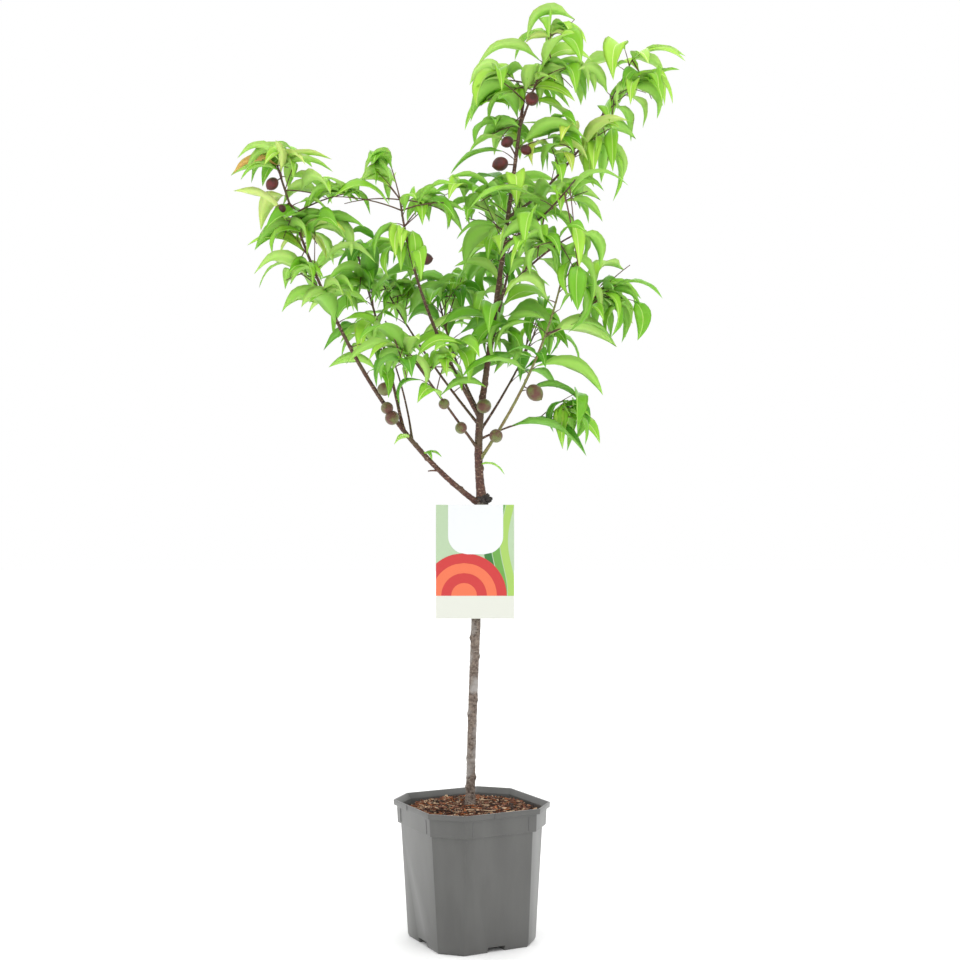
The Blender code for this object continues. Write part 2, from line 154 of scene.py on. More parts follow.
def mesh_piece(
    name: str, verts: np.ndarray, faces: list[tuple[int, ...]], smooth: bool = True
) -> bpy.types.Object:
    """Make an object from corner places and faces.

    Args:
        name: Name of the piece.
        verts: Corner places, one row each.
        faces: Corner numbers of each face.
        smooth: Whether the faces are shaded smooth.

    Returns:
        The new object, at the origin.
    """
    mesh = bpy.data.meshes.new(name)
    mesh.from_pydata(verts.tolist(), [], faces)
    mesh.validate()
    if smooth:
        mesh.shade_smooth()
    piece = bpy.data.objects.new(name, mesh)
    bpy.context.scene.collection.objects.link(piece)
    return piece


def hand_over(piece: bpy.types.Object, slot: str, *nodes: str) -> None:
    """Let the piece ride on the body and stand for its nodes.

    Args:
        piece: The piece.
        slot: The record's material slot; not used.
        *nodes: The nodes that it stands for.
    """
    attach(piece, BODY)
    if nodes:
        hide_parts(*nodes)
    LOG.info("%s: %d faces", piece.name, len(piece.data.polygons))


def join_all(pieces: list[bpy.types.Object], name: str) -> bpy.types.Object:
    """Join pieces into one.

    Args:
        pieces: The pieces.
        name: Name of the joined piece.

    Returns:
        The joined piece.
    """
    deselect()
    for piece in pieces:
        piece.select_set(True)
    bpy.context.view_layer.objects.active = pieces[0]
    bpy.ops.object.join()
    joined = bpy.context.object
    joined.name = name
    return joined


def tube_faces(first: int, steps: int, sides: int) -> list[tuple[int, ...]]:
    """Faces of a closed tube whose corners lie ring after ring.

    Args:
        first: Number of its first corner.
        steps: Number of gaps between rings.
        sides: Corners of a ring.

    Returns:
        The walls, the foot's cap and the tip's cap.
    """
    faces: list[tuple[int, ...]] = []
    for ring in range(steps):
        for side in range(sides):
            a = first + ring * sides + side
            b = first + ring * sides + (side + 1) % sides
            faces.append((a, b, b + sides, a + sides))
    last = first + steps * sides
    faces.append(tuple(first + side for side in reversed(range(sides))))
    faces.append(tuple(last + side for side in range(sides)))
    return faces


# Finishes
class Paint:
    """A Principled material and the few node moves that the finishes share."""

    def __init__(self, name: str) -> None:
        """Start a plain material.

        Args:
            name: Name of the material.
        """
        self.material = bpy.data.materials.new(name)
        self.material.use_nodes = True
        self.tree = self.material.node_tree
        self.shader = self.tree.nodes["Principled BSDF"]

    def plain(self, **values: float | tuple) -> None:
        """Set the shader's own sockets, with underscores for spaces in their names."""
        for key, value in values.items():
            self.shader.inputs[key.replace("_", " ")].default_value = value

    def node(self, kind: str, **settings: object) -> bpy.types.Node:
        """Add a node with the given settings and input values.

        Args:
            kind: The node's type name.
            **settings: Attributes of the node, or inputs where the name starts with in_.

        Returns:
            The new node.
        """
        new = self.tree.nodes.new(kind)
        for key, value in settings.items():
            if key.startswith("in_"):
                new.inputs[key[3:].replace("_", " ")].default_value = value
            else:
                setattr(new, key, value)
        return new

    def link(self, source: bpy.types.NodeSocket, target: bpy.types.NodeSocket) -> None:
        """Join two sockets."""
        self.tree.links.new(source, target)

    def colour(self, source: bpy.types.NodeSocket) -> None:
        """Give the surface that colour."""
        self.link(source, self.shader.inputs["Base Color"])

    def coordinates(self, scale: tuple = (1.0, 1.0, 1.0)) -> bpy.types.NodeSocket:
        """Object coordinates, stretched by the scale.

        Args:
            scale: Stretch along each axis.

        Returns:
            The vector socket.
        """
        source = self.node("ShaderNodeTexCoord")
        mapping = self.node("ShaderNodeMapping", in_Scale=scale)
        self.link(source.outputs["Object"], mapping.inputs["Vector"])
        return mapping.outputs["Vector"]

    def cloud(self, where: bpy.types.NodeSocket, scale: float, detail: float) -> bpy.types.NodeSocket:
        """Noise at that scale.

        Args:
            where: Coordinates.
            scale: Noise scale.
            detail: Octaves.

        Returns:
            The value socket.
        """
        cloud = self.node("ShaderNodeTexNoise", in_Scale=scale, in_Detail=detail)
        self.link(where, cloud.inputs["Vector"])
        return cloud.outputs["Fac"]

    def ramp(self, value: bpy.types.NodeSocket, stops: list[tuple[float, tuple]]) -> bpy.types.NodeSocket:
        """Turn a value into a colour between two stops.

        Args:
            value: The value socket.
            stops: Both places, from 0 to 1, with their colours.

        Returns:
            The colour socket.
        """
        ramp = self.node("ShaderNodeValToRGB")
        elements = ramp.color_ramp.elements
        for element, (place, colour) in zip(elements, stops):
            element.position = place
            element.color = colour
        self.link(value, ramp.inputs["Fac"])
        return ramp.outputs["Color"]

    def mixed(
        self, share: bpy.types.NodeSocket, first: bpy.types.NodeSocket, second: tuple
    ) -> bpy.types.NodeSocket:
        """Mix a plain colour into another by a share.

        Args:
            share: Share of the second colour.
            first: First colour.
            second: Second colour, a plain one.

        Returns:
            The colour socket.
        """
        mix = self.node("ShaderNodeMix", data_type="RGBA")
        self.link(share, mix.inputs[0])
        self.link(first, mix.inputs[6])
        mix.inputs[7].default_value = second
        return mix.outputs[2]

    def bump(self, height: bpy.types.NodeSocket, distance: float, strength: float) -> None:
        """Raise the surface by a height.

        Args:
            height: The value socket.
            distance: The height of a value of 1, in metres.
            strength: Share of the relief that shows.
        """
        bump = self.node("ShaderNodeBump", in_Strength=strength, in_Distance=distance)
        self.link(height, bump.inputs["Height"])
        self.link(bump.outputs["Normal"], self.shader.inputs["Normal"])


@dataclass(frozen=True)
class PotFinish:
    """Recycled grey plastic with a satin gloss, faint flow marks and dust."""

    base: tuple = srgb(78, 78, 76)
    worn: tuple = srgb(92, 92, 90)
    roughness: float = 0.30

    def make(self) -> bpy.types.Material:
        """Build the material.

        Returns:
            The material.
        """
        paint = Paint("pot_plastic")
        paint.plain(Roughness=self.roughness, Specular_IOR_Level=0.6)
        where = paint.coordinates()
        streaks = paint.cloud(paint.coordinates(scale=(1.0, 1.0, 0.25)), 28.0, 5.0)
        paint.colour(paint.ramp(streaks, [(0.35, self.base), (0.75, self.worn)]))
        paint.bump(paint.cloud(where, 900.0, 3.0), 0.00012, 0.5)
        return paint.material


@dataclass(frozen=True)
class BarkFinish:
    """Bark in two tones with pale bands of pores and a mossy or silvery side."""

    name: str
    dark: tuple
    light: tuple
    pores: tuple
    side: tuple
    roughness: float
    grain: float = 260.0

    def make(self) -> bpy.types.Material:
        """Build the material.

        Returns:
            The material.
        """
        paint = Paint(self.name)
        paint.plain(Roughness=self.roughness, Specular_IOR_Level=0.35)
        where = paint.coordinates()
        tone = paint.ramp(paint.cloud(where, self.grain, 6.0), [(0.34, self.dark), (0.68, self.light)])
        bands = paint.cloud(paint.coordinates(scale=(0.28, 0.28, 1.0)), 620.0, 2.0)
        marks = paint.ramp(bands, [(0.60, (0, 0, 0, 1)), (0.68, (1, 1, 1, 1))])
        banded = paint.mixed(marks, tone, self.pores)
        patches = paint.ramp(paint.cloud(where, 34.0, 3.0), [(0.48, (0, 0, 0, 1)), (0.66, (1, 1, 1, 1))])
        paint.colour(paint.mixed(patches, banded, self.side))
        paint.bump(paint.cloud(where, self.grain * 2.4, 6.0), 0.0006, 0.7)
        return paint.material


@dataclass(frozen=True)
class PlainFinish:
    """One plain base colour with its gloss and, where asked, a fine uneven surface."""

    name: str
    colour: tuple
    roughness: float
    grain: float = 0.0
    relief: float = 0.0002
    through: float = 0.0
    gloss: float = 0.45

    def make(self) -> bpy.types.Material:
        """Build the material.

        Returns:
            The material.
        """
        paint = Paint(self.name)
        paint.plain(Base_Color=self.colour, Roughness=self.roughness, Specular_IOR_Level=self.gloss)
        if self.through:
            paint.plain(Subsurface_Weight=self.through, Subsurface_Scale=0.0012)
            paint.plain(Subsurface_Radius=(0.6, 1.0, 0.25))
        if self.grain:
            paint.bump(paint.cloud(paint.coordinates(), self.grain, 4.0), self.relief, 0.6)
        return paint.material


@dataclass(frozen=True)
class FruitFinish:
    """Downy young skin that runs from a ground colour into a blush."""

    name: str
    ground: tuple
    blush: tuple

    def make(self) -> bpy.types.Material:
        """Build the material.

        Returns:
            The material.
        """
        paint = Paint(self.name)
        paint.plain(Roughness=0.5, Sheen_Weight=0.15, Specular_IOR_Level=0.4)
        cloud = paint.cloud(paint.coordinates(), 75.0, 4.0)
        paint.colour(paint.ramp(cloud, [(0.40, self.ground), (0.60, self.blush)]))
        paint.bump(paint.cloud(paint.coordinates(), 700.0, 3.0), 0.0002, 0.4)
        return paint.material


@dataclass(frozen=True)
class LeafTint:
    """The plain colours of one spray's leaves: upper skin, underside and midrib."""

    name: str
    upper: tuple
    under: tuple
    rib: tuple


class Tint(Enum):
    """The leaf colours that the crown deals out by spray. Four of them are one green with light and shade
    painted in, in steps from the sunlit one to the shaded one; the young and amber ones are the leaves' own
    colours.
    """

    # Painted light and shade: the next four greens are one leaf colour, brighter where light falls and darker
    # where shade falls.
    SUNLIT = LeafTint("sunlit", srgb(168, 216, 72), srgb(180, 220, 112), srgb(214, 232, 144))
    FRESH = LeafTint("half_lit", srgb(142, 200, 54), srgb(160, 210, 92), srgb(196, 224, 124))
    MID = LeafTint("mid", srgb(118, 182, 42), srgb(142, 196, 80), srgb(174, 212, 106))
    DEEP = LeafTint("deep", srgb(88, 156, 32), srgb(118, 178, 66), srgb(146, 196, 88))
    YOUNG = LeafTint("young", srgb(196, 218, 88), srgb(204, 224, 128), srgb(226, 232, 156))
    AMBER = LeafTint("amber", srgb(222, 140, 62), srgb(216, 176, 98), srgb(230, 196, 116))


# Camera and light
@dataclass
class Studio:
    """A pale floor, soft studio light and the camera."""

    photo_side: float = 960.0
    place: Vector = field(default_factory=lambda: Vector((0.012, -2.128, 0.609)))
    pitch: float = math.radians(1.0)
    lens: float = 56.25
    sensor: float = 36.0
    floor_half: float = 12.0
    front_sky: tuple = (-0.9, -0.1, 0.85, 1.0)
    top_sky: tuple = (0.45, 0.9, 0.0, 0.6)
    aim: tuple = (0.0, 0.0, 0.7)
    lights: tuple = (
        ("key", (1.3, -1.9, 2.6), 1.6, 14.0),
        ("fill", (-2.2, -1.4, 1.4), 1.8, 7.0),
        ("back", (0.3, 2.4, 2.2), 1.8, 9.0),
    )

    def under_pixel(self, across: float, down: float, depth: float) -> Vector:
        """The point of the upright plane at that depth which shows at a pixel of the photo.

        Args:
            across: Pixels from the left edge.
            down: Pixels from the top edge.
            depth: The plane's Y in metres.

        Returns:
            The point in metres.
        """
        focal = self.lens / self.sensor * self.photo_side
        middle = self.photo_side / 2.0
        away = depth - self.place.y
        rise = (middle - down) / focal
        sine, cosine = math.sin(self.pitch), math.cos(self.pitch)
        high = away * (rise * cosine + sine) / (cosine - rise * sine)
        reach = away * cosine + high * sine
        return Vector((self.place.x + (across - middle) / focal * reach, depth, self.place.z + high))

    def build(self) -> None:
        """Set up camera, floor, sky and lights."""
        camera_data = bpy.data.cameras.new("camera")
        camera_data.lens = self.lens
        camera_data.sensor_width = self.sensor
        camera_data.clip_end = 60.0
        camera = bpy.data.objects.new("camera", camera_data)
        camera.location = self.place
        camera.rotation_euler = (math.radians(90.0) + self.pitch, 0.0, 0.0)
        bpy.context.scene.collection.objects.link(camera)
        bpy.context.scene.camera = camera
        self.add_floor()
        self.add_sky()
        for light in self.lights:
            self.add_light(*light)
        bpy.context.scene.view_settings.view_transform = "Standard"

    def add_floor(self) -> None:
        """The floor that the pot stands on."""
        deselect()
        bpy.ops.mesh.primitive_plane_add(size=2.0 * self.floor_half, location=(0.0, 0.0, 0.0))
        floor = bpy.context.object
        floor.name = "studio_floor"
        settle(floor)
        floor.data.materials.append(PlainFinish("studio_floor", (0.985, 0.985, 0.985, 1.0), 0.9).make())
        floor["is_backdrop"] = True

    def add_sky(self) -> None:
        """White light that is dimmer from the viewer's side and stronger from overhead."""
        world = bpy.data.worlds.new("studio")
        world.use_nodes = True
        background = world.node_tree.nodes["Background"]
        background.inputs["Color"].default_value = (1.0, 1.0, 1.0, 1.0)
        nodes, links = world.node_tree.nodes, world.node_tree.links
        ways = nodes.new("ShaderNodeSeparateXYZ")
        links.new(nodes.new("ShaderNodeTexCoord").outputs["Generated"], ways.inputs[0])
        total = nodes.new("ShaderNodeMath")
        for place, (axis, limits) in enumerate((("Y", self.front_sky), ("Z", self.top_sky))):
            spread = nodes.new("ShaderNodeMapRange")
            for socket, value in zip(("From Min", "From Max", "To Min", "To Max"), limits):
                spread.inputs[socket].default_value = value
            links.new(ways.outputs[axis], spread.inputs["Value"])
            links.new(spread.outputs["Result"], total.inputs[place])
        links.new(total.outputs[0], background.inputs["Strength"])
        bpy.context.scene.world = world

    def add_light(self, name: str, place: tuple, side: float, power: float) -> None:
        """A square soft light that faces the crown.

        Args:
            name: Name of the light.
            place: Where it hangs.
            side: Its side in metres.
            power: Its power in watts.
        """
        data = bpy.data.lights.new(name, "AREA")
        data.size = side
        data.energy = power
        light = bpy.data.objects.new(name, data)
        light.location = place
        light.rotation_euler = (Vector(self.aim) - Vector(place)).to_track_quat("-Z", "Y").to_euler()
        bpy.context.scene.collection.objects.link(light)


# Pot
@dataclass
class Pot:
    """Thin-walled octagonal nursery pot with a stepped collar, ribs and base channels."""

    rim_half: float = 0.095
    height: float = 0.193
    turn: float = math.radians(27.0)
    rim_chamfer: float = 0.39 * rim_half
    base_chamfer: float = 0.274 * rim_half
    base_half: float = 0.80 * rim_half
    foot_height: float = 0.004
    foot_chamfer: float = 0.0015
    lip_height: float = 0.008
    lip_wall: float = 0.0025
    lip_draft: float = 0.0006
    collar_height: float = 0.0245
    collar_half: tuple = (0.0898, 0.0912)
    body_top_half: float = 0.0862
    wall: float = 0.0019
    floor: float = 0.010
    shoulder: float = 0.0006
    channel: tuple = (0.090, 0.026, 0.014)
    edge_round: float = 0.0006
    rib: tuple = (0.0030, 0.0011, 0.019)
    rib_rise: float = 0.0004
    rib_round: float = 0.0001
    rib_offsets: tuple = (-0.043, 0.043)
    mould_line: tuple = (0.0008, 0.0006, 0.0068)
    mould_offset: float = -0.012
    mould_sink: float = 0.0001

    def ring(self, half: float, height: float, inset: float = 0.0) -> list[Vector]:
        """Eight corners of the turned square with cut corners.

        Args:
            half: Half side of the square.
            height: Height of the ring.
            inset: How far the ring is pulled in.

        Returns:
            The corners, anticlockwise seen from above.
        """
        share = height / self.height
        chamfer = self.base_chamfer + (self.rim_chamfer - self.base_chamfer) * share
        chamfer -= (2.0 - math.sqrt(2.0)) * inset
        a = half - inset
        b = a - chamfer
        corners = [(-a, -b), (-b, -a), (b, -a), (a, -b), (a, b), (b, a), (-b, a), (-a, b)]
        spin = Matrix.Rotation(self.turn, 3, "Z")
        return [spin @ Vector((x, y, height)) for x, y in corners]

    def wall_half(self, height: float) -> float:
        """Half side of the tapering wall at that height."""
        top = self.height - self.lip_height - self.collar_height
        return self.base_half + (self.body_top_half - self.base_half) * (height - self.foot_height) / (
            top - self.foot_height
        )

    def levels(self) -> list[list[Vector]]:
        """The pot's rings, up the outside and down the inside.

        Returns:
            The rings' corners.
        """
        collar_foot = self.height - self.lip_height - self.collar_height
        lip_foot = self.height - self.lip_height
        low, high = self.collar_half
        return [
            self.ring(self.base_half - self.foot_chamfer, 0.0),
            self.ring(self.base_half, self.foot_height),
            self.ring(self.body_top_half, collar_foot),
            self.ring(low, collar_foot + self.shoulder),
            self.ring(high, lip_foot),
            self.ring(self.rim_half - self.lip_draft, lip_foot + self.shoulder),
            self.ring(self.rim_half, self.height),
            self.ring(self.rim_half, self.height, self.lip_wall),
            self.ring(high, lip_foot, self.wall),
            self.ring(low, collar_foot + self.wall + self.shoulder, self.wall),
            self.ring(self.body_top_half, collar_foot + self.wall, self.wall),
            self.ring(self.wall_half(self.floor), self.floor, self.wall),
        ]

    def build(self) -> None:
        """Extrude the pot ring by ring, cut its base and round its edges."""
        deselect()
        bpy.ops.mesh.primitive_circle_add(vertices=8, radius=self.base_half, fill_type="NGON")
        pot = bpy.context.object
        pot.name = "nursery_pot"
        rings = self.levels()
        for vert, corner in zip(pot.data.vertices, rings[0]):
            vert.co = corner
        bpy.ops.object.mode_set(mode="EDIT")
        for lower, upper in zip(rings, rings[1:]):
            bpy.ops.mesh.extrude_region_move(TRANSFORM_OT_translate={"value": (0.0, 0.0, 0.0)})
            bm = bmesh.from_edit_mesh(pot.data)
            moved = [vert for vert in bm.verts if vert.select]
            for vert in moved:
                nearest = min(range(8), key=lambda i: (vert.co - lower[i]).length)
                vert.co = upper[nearest]
            bmesh.update_edit_mesh(pot.data)
        bpy.ops.mesh.select_all(action="SELECT")
        bpy.ops.mesh.normals_make_consistent(inside=False)
        bpy.ops.object.mode_set(mode="OBJECT")
        self.cut_base(pot)
        rounding = pot.modifiers.new("edges", "BEVEL")
        rounding.width = self.edge_round
        rounding.segments = 2
        rounding.limit_method = "ANGLE"
        rounding.angle_limit = math.radians(12.0)
        apply_modifiers(pot)
        bpy.ops.object.shade_smooth_by_angle(angle=math.radians(30.0))
        pot.data.materials.append(PotFinish().make())
        hand_over(pot, "pot_plastic", "pot")
        self.add_ribs()

    def add_ribs(self) -> None:
        """Set two thin upright ribs on the collar, and a mould line on the lip, of each long side."""
        lip_foot = self.height - self.lip_height
        collar_middle = lip_foot - self.collar_height / 2.0
        low, high = self.collar_half
        lean = math.atan2(high - low, self.collar_height)
        seat = (low + high - self.rib[0]) / 2.0 + self.rib_rise
        marks = [(offset, seat, collar_middle, self.rib) for offset in self.rib_offsets]
        lip_middle = self.height - self.lip_height / 2.0
        marks.append((self.mould_offset, self.rim_half - self.mould_sink, lip_middle, self.mould_line))
        ribs = []
        for quarter in range(4):
            angle = self.turn + quarter * math.pi / 2.0
            for offset, out, height, size in marks:
                deselect()
                bpy.ops.mesh.primitive_cube_add(size=1.0)
                rib = bpy.context.object
                rib.scale = size
                rib.rotation_euler = (0.0, lean, angle)
                rib.location = Matrix.Rotation(angle, 3, "Z") @ Vector((out, offset, height))
                settle(rib)
                ribs.append(rib)
        piece = join_all(ribs, "collar_ribs")
        rounding = piece.modifiers.new("edges", "BEVEL")
        rounding.width = self.rib_round
        rounding.segments = 2
        apply_modifiers(piece)
        piece.data.materials.append(bpy.data.materials["pot_plastic"])
        hand_over(piece, "pot_plastic")

    def cut_base(self, pot: bpy.types.Object) -> None:
        """Cut a channel under each side of the base.

        Args:
            pot: The pot.
        """
        for quarter in range(4):
            deselect()
            bpy.ops.mesh.primitive_cube_add(size=1.0)
            bar = bpy.context.object
            bar.scale = self.channel
            bar.rotation_euler = (0.0, 0.0, self.turn + quarter * math.pi / 2.0)
            bar.location = Matrix.Rotation(bar.rotation_euler.z, 3, "Z") @ Vector((self.base_half, 0.0, 0.0))
            cut = pot.modifiers.new("channel", "BOOLEAN")
            cut.operation = "DIFFERENCE"
            cut.object = bar
            apply_modifiers(pot)
            bpy.data.objects.remove(bar, do_unlink=True)


# Compost
class Mulch(Enum):
    """What the top of the compost is made of: a colour and how often it turns up."""

    DARK = ("mulch_dark", srgb(52, 34, 26), 0.34)
    RUSSET = ("mulch_russet", srgb(108, 66, 46), 0.34)
    ORANGE = ("mulch_orange", srgb(150, 88, 48), 0.12)
    TAN = ("mulch_tan", srgb(178, 150, 122), 0.20)


@dataclass
class Compost:
    """Composted bark: a dark uneven mound strewn with chips and fibres."""

    pot: Pot
    edge_drop: float = 0.012
    top_drop: float = 0.006
    chips: int = 1500
    fibres: int = 1000
    rings: int = 34
    sides: int = 72
    skirt: float = 0.018
    chip_room: float = 0.0015
    wall_gap: float = 0.0008
    chip_long: tuple = (0.0030, 0.0115)
    chip_slim: tuple = (0.22, 0.65)
    chip_thick: tuple = (0.0006, 0.0018)
    chip_tilt: float = 0.35
    fibre_long: tuple = (0.006, 0.020)
    fibre_thin: tuple = (0.00030, 0.00085)
    fibre_steps: int = 5

    def height_at(self, x: float, y: float) -> float:
        """Height of the mound: flat in the middle, lower at the wall.

        Args:
            x: Place along X.
            y: Place along Y.

        Returns:
            The height in metres.
        """
        share = min(1.0, math.hypot(x, y) / self.pot.rim_half)
        drop = self.top_drop + (self.edge_drop - self.top_drop) * max(0.0, share - 0.5) / 0.5
        rough = 0.0022 * noise.noise(Vector((x, y, 0.0)) * 90.0)
        rough += 0.0010 * noise.noise(Vector((x, y, 3.0)) * 260.0)
        return self.pot.height - drop + rough - self.chip_room

    def reach(self, angle: float) -> float:
        """Distance from the middle to the wall.

        Args:
            angle: The direction.

        Returns:
            The distance in metres.
        """
        pot = self.pot
        ring = pot.ring(pot.collar_half[0], pot.height - self.edge_drop, pot.wall + self.wall_gap)
        way = Vector((math.cos(angle), math.sin(angle)))
        best = self.pot.rim_half
        for first, second in zip(ring, ring[1:] + ring[:1]):
            edge = Vector((second.x - first.x, second.y - first.y))
            out = Vector((edge.y, -edge.x)).normalized()
            facing = out.dot(way)
            if facing > 1e-6:
                best = min(best, out.dot(Vector((first.x, first.y))) / facing)
        return best

    def build(self) -> None:
        """Build the bed and strew it."""
        self.build_bed()
        chance = random.Random(SEED)
        for mulch in Mulch:
            name, colour, share = mulch.value
            verts: list[list[float]] = []
            faces: list[tuple[int, ...]] = []
            for _ in range(round(self.chips * share)):
                self.add_chip(chance, verts, faces)
            for _ in range(round(self.fibres * share)):
                self.add_fibre(chance, verts, faces)
            piece = mesh_piece(name, np.array(verts), faces, smooth=False)
            piece.data.materials.append(PlainFinish(name, colour, 0.9, 900.0, 0.0008).make())
            hand_over(piece, "compost")

    def build_bed(self) -> None:
        """The dark ground under the chips, down into the pot."""
        deselect()
        bpy.ops.mesh.primitive_circle_add(vertices=self.sides, radius=1.0, fill_type="NGON")
        bed = bpy.context.object
        bed.name = "compost_bed"
        bpy.ops.object.mode_set(mode="EDIT")
        for step in range(self.rings - 1):
            left = 1.0 - (step + 1) / self.rings
            bpy.ops.mesh.inset(thickness=0.0, use_even_offset=False)
            bm = bmesh.from_edit_mesh(bed.data)
            for vert in bm.verts:
                if vert.select:
                    vert.co = vert.co.normalized() * left
            bmesh.update_edit_mesh(bed.data)
        bpy.ops.object.mode_set(mode="OBJECT")
        for vert in bed.data.vertices:
            angle = math.atan2(vert.co.y, vert.co.x)
            share = min(1.0, vert.co.xy.length)
            reach = self.reach(angle) * share
            x, y = reach * math.cos(angle), reach * math.sin(angle)
            vert.co = (x, y, self.height_at(x, y))
        bpy.ops.object.mode_set(mode="EDIT")
        bpy.ops.mesh.select_all(action="DESELECT")
        bm = bmesh.from_edit_mesh(bed.data)
        for edge in bm.edges:
            edge.select = edge.is_boundary
        bmesh.update_edit_mesh(bed.data)
        bpy.ops.mesh.extrude_edges_move(TRANSFORM_OT_translate={"value": (0.0, 0.0, -self.skirt)})
        bpy.ops.mesh.edge_face_add()
        bpy.ops.mesh.select_all(action="SELECT")
        bpy.ops.mesh.normals_make_consistent(inside=False)
        bpy.ops.object.mode_set(mode="OBJECT")
        bed.data.shade_smooth()
        bed.data.materials.append(PlainFinish("mulch_bed", srgb(58, 38, 28), 0.95, 500.0, 0.0015).make())
        hand_over(bed, "compost", "compost")

    def spot(self, chance: random.Random, margin: float) -> Vector:
        """A place on the mound, clear of the trunk.

        Args:
            chance: Source of draws.
            margin: How far it stays from the wall.

        Returns:
            The place.
        """
        angle = chance.uniform(0.0, math.tau)
        radius = (self.reach(angle) - margin) * math.sqrt(chance.uniform(0.012, 1.0))
        x, y = radius * math.cos(angle), radius * math.sin(angle)
        return Vector((x, y, self.height_at(x, y)))

    def add_chip(self, chance: random.Random, verts: list, faces: list) -> None:
        """One flat splinter of bark with an uneven outline.

        Args:
            chance: Source of draws.
            verts: Corner places to add to.
            faces: Faces to add to.
        """
        sides = chance.choice((4, 5, 6))
        long = chance.uniform(*self.chip_long)
        wide = long * chance.uniform(*self.chip_slim)
        thick = chance.uniform(*self.chip_thick)
        spin = Matrix.Rotation(chance.uniform(0, math.tau), 3, "Z")
        tilt = Matrix.Rotation(chance.gauss(0.0, self.chip_tilt), 3, "X")
        tilt = tilt @ Matrix.Rotation(chance.gauss(0.0, self.chip_tilt), 3, "Y")
        place = self.spot(chance, long / 2.0) + Vector((0.0, 0.0, chance.uniform(0.0, 0.0022)))
        first = len(verts)
        outline = []
        for i in range(sides):
            angle = math.tau * (i + chance.uniform(-0.25, 0.25)) / sides
            outline.append((long / 2.0 * math.cos(angle), wide / 2.0 * math.sin(angle)))
        for level in (-0.5, 0.5):
            for x, y in outline:
                verts.append(list(place + tilt @ (spin @ Vector((x, y, level * thick)))))
        faces.append(tuple(first + i for i in reversed(range(sides))))
        faces.append(tuple(first + sides + i for i in range(sides)))
        for i in range(sides):
            j = (i + 1) % sides
            faces.append((first + i, first + j, first + sides + j, first + sides + i))

    def add_fibre(self, chance: random.Random, verts: list, faces: list) -> None:
        """One thin curved fibre of three sides.

        Args:
            chance: Source of draws.
            verts: Corner places to add to.
            faces: Faces to add to.
        """
        long = chance.uniform(*self.fibre_long)
        thin = chance.uniform(*self.fibre_thin)
        turn = chance.uniform(0.0, math.tau)
        bend = chance.uniform(-0.25, 0.25) * long
        place = self.spot(chance, long / 2.0 + 0.001) + Vector((0.0, 0.0, chance.uniform(0.0006, 0.0026)))
        lift = chance.uniform(-0.06, 0.12) * long
        spin = Matrix.Rotation(turn, 3, "Z")
        first = len(verts)
        for i in range(self.fibre_steps + 1):
            share = i / self.fibre_steps
            middle = Vector((long * (share - 0.5), bend * 4.0 * share * (1.0 - share), lift * share))
            for side in range(3):
                angle = math.tau * side / 3.0
                off = Vector((0.0, thin * math.cos(angle), thin * math.sin(angle)))
                verts.append(list(place + spin @ (middle + off)))
        faces += tube_faces(first, self.fibre_steps, 3)


# Limbs
class Bark(Enum):
    """The barks of the plant."""

    TRUNK = BarkFinish(
        "trunk_bark", srgb(74, 62, 56), srgb(138, 124, 112), srgb(150, 140, 130), srgb(160, 156, 152), 0.72
    )
    YOUNG = BarkFinish(
        "young_bark", srgb(62, 38, 34), srgb(104, 68, 56), srgb(160, 134, 116), srgb(92, 76, 58), 0.5, 320.0
    )
    GREEN = BarkFinish(
        "green_bark", srgb(104, 104, 60), srgb(146, 146, 88), srgb(170, 168, 120), srgb(128, 96, 66), 0.5, 320.0
    )
    BURR = BarkFinish(
        "burr_bark", srgb(34, 30, 30), srgb(78, 72, 70), srgb(96, 90, 86), srgb(58, 54, 52), 0.8
    )


@dataclass(frozen=True)
class Limb:
    """One stem: its parent and the share of it that it leaves from, its tip, bow and end radii."""

    name: str
    parent: str
    leaves_at: float
    tip: tuple
    bow: tuple
    radii: tuple
    bark: Bark = Bark.YOUNG


@dataclass(frozen=True)
class Knob:
    """A bud, stub or scar on a limb: the share along it, its side, its height and its width."""

    share: float
    side: float
    height: float
    width: float


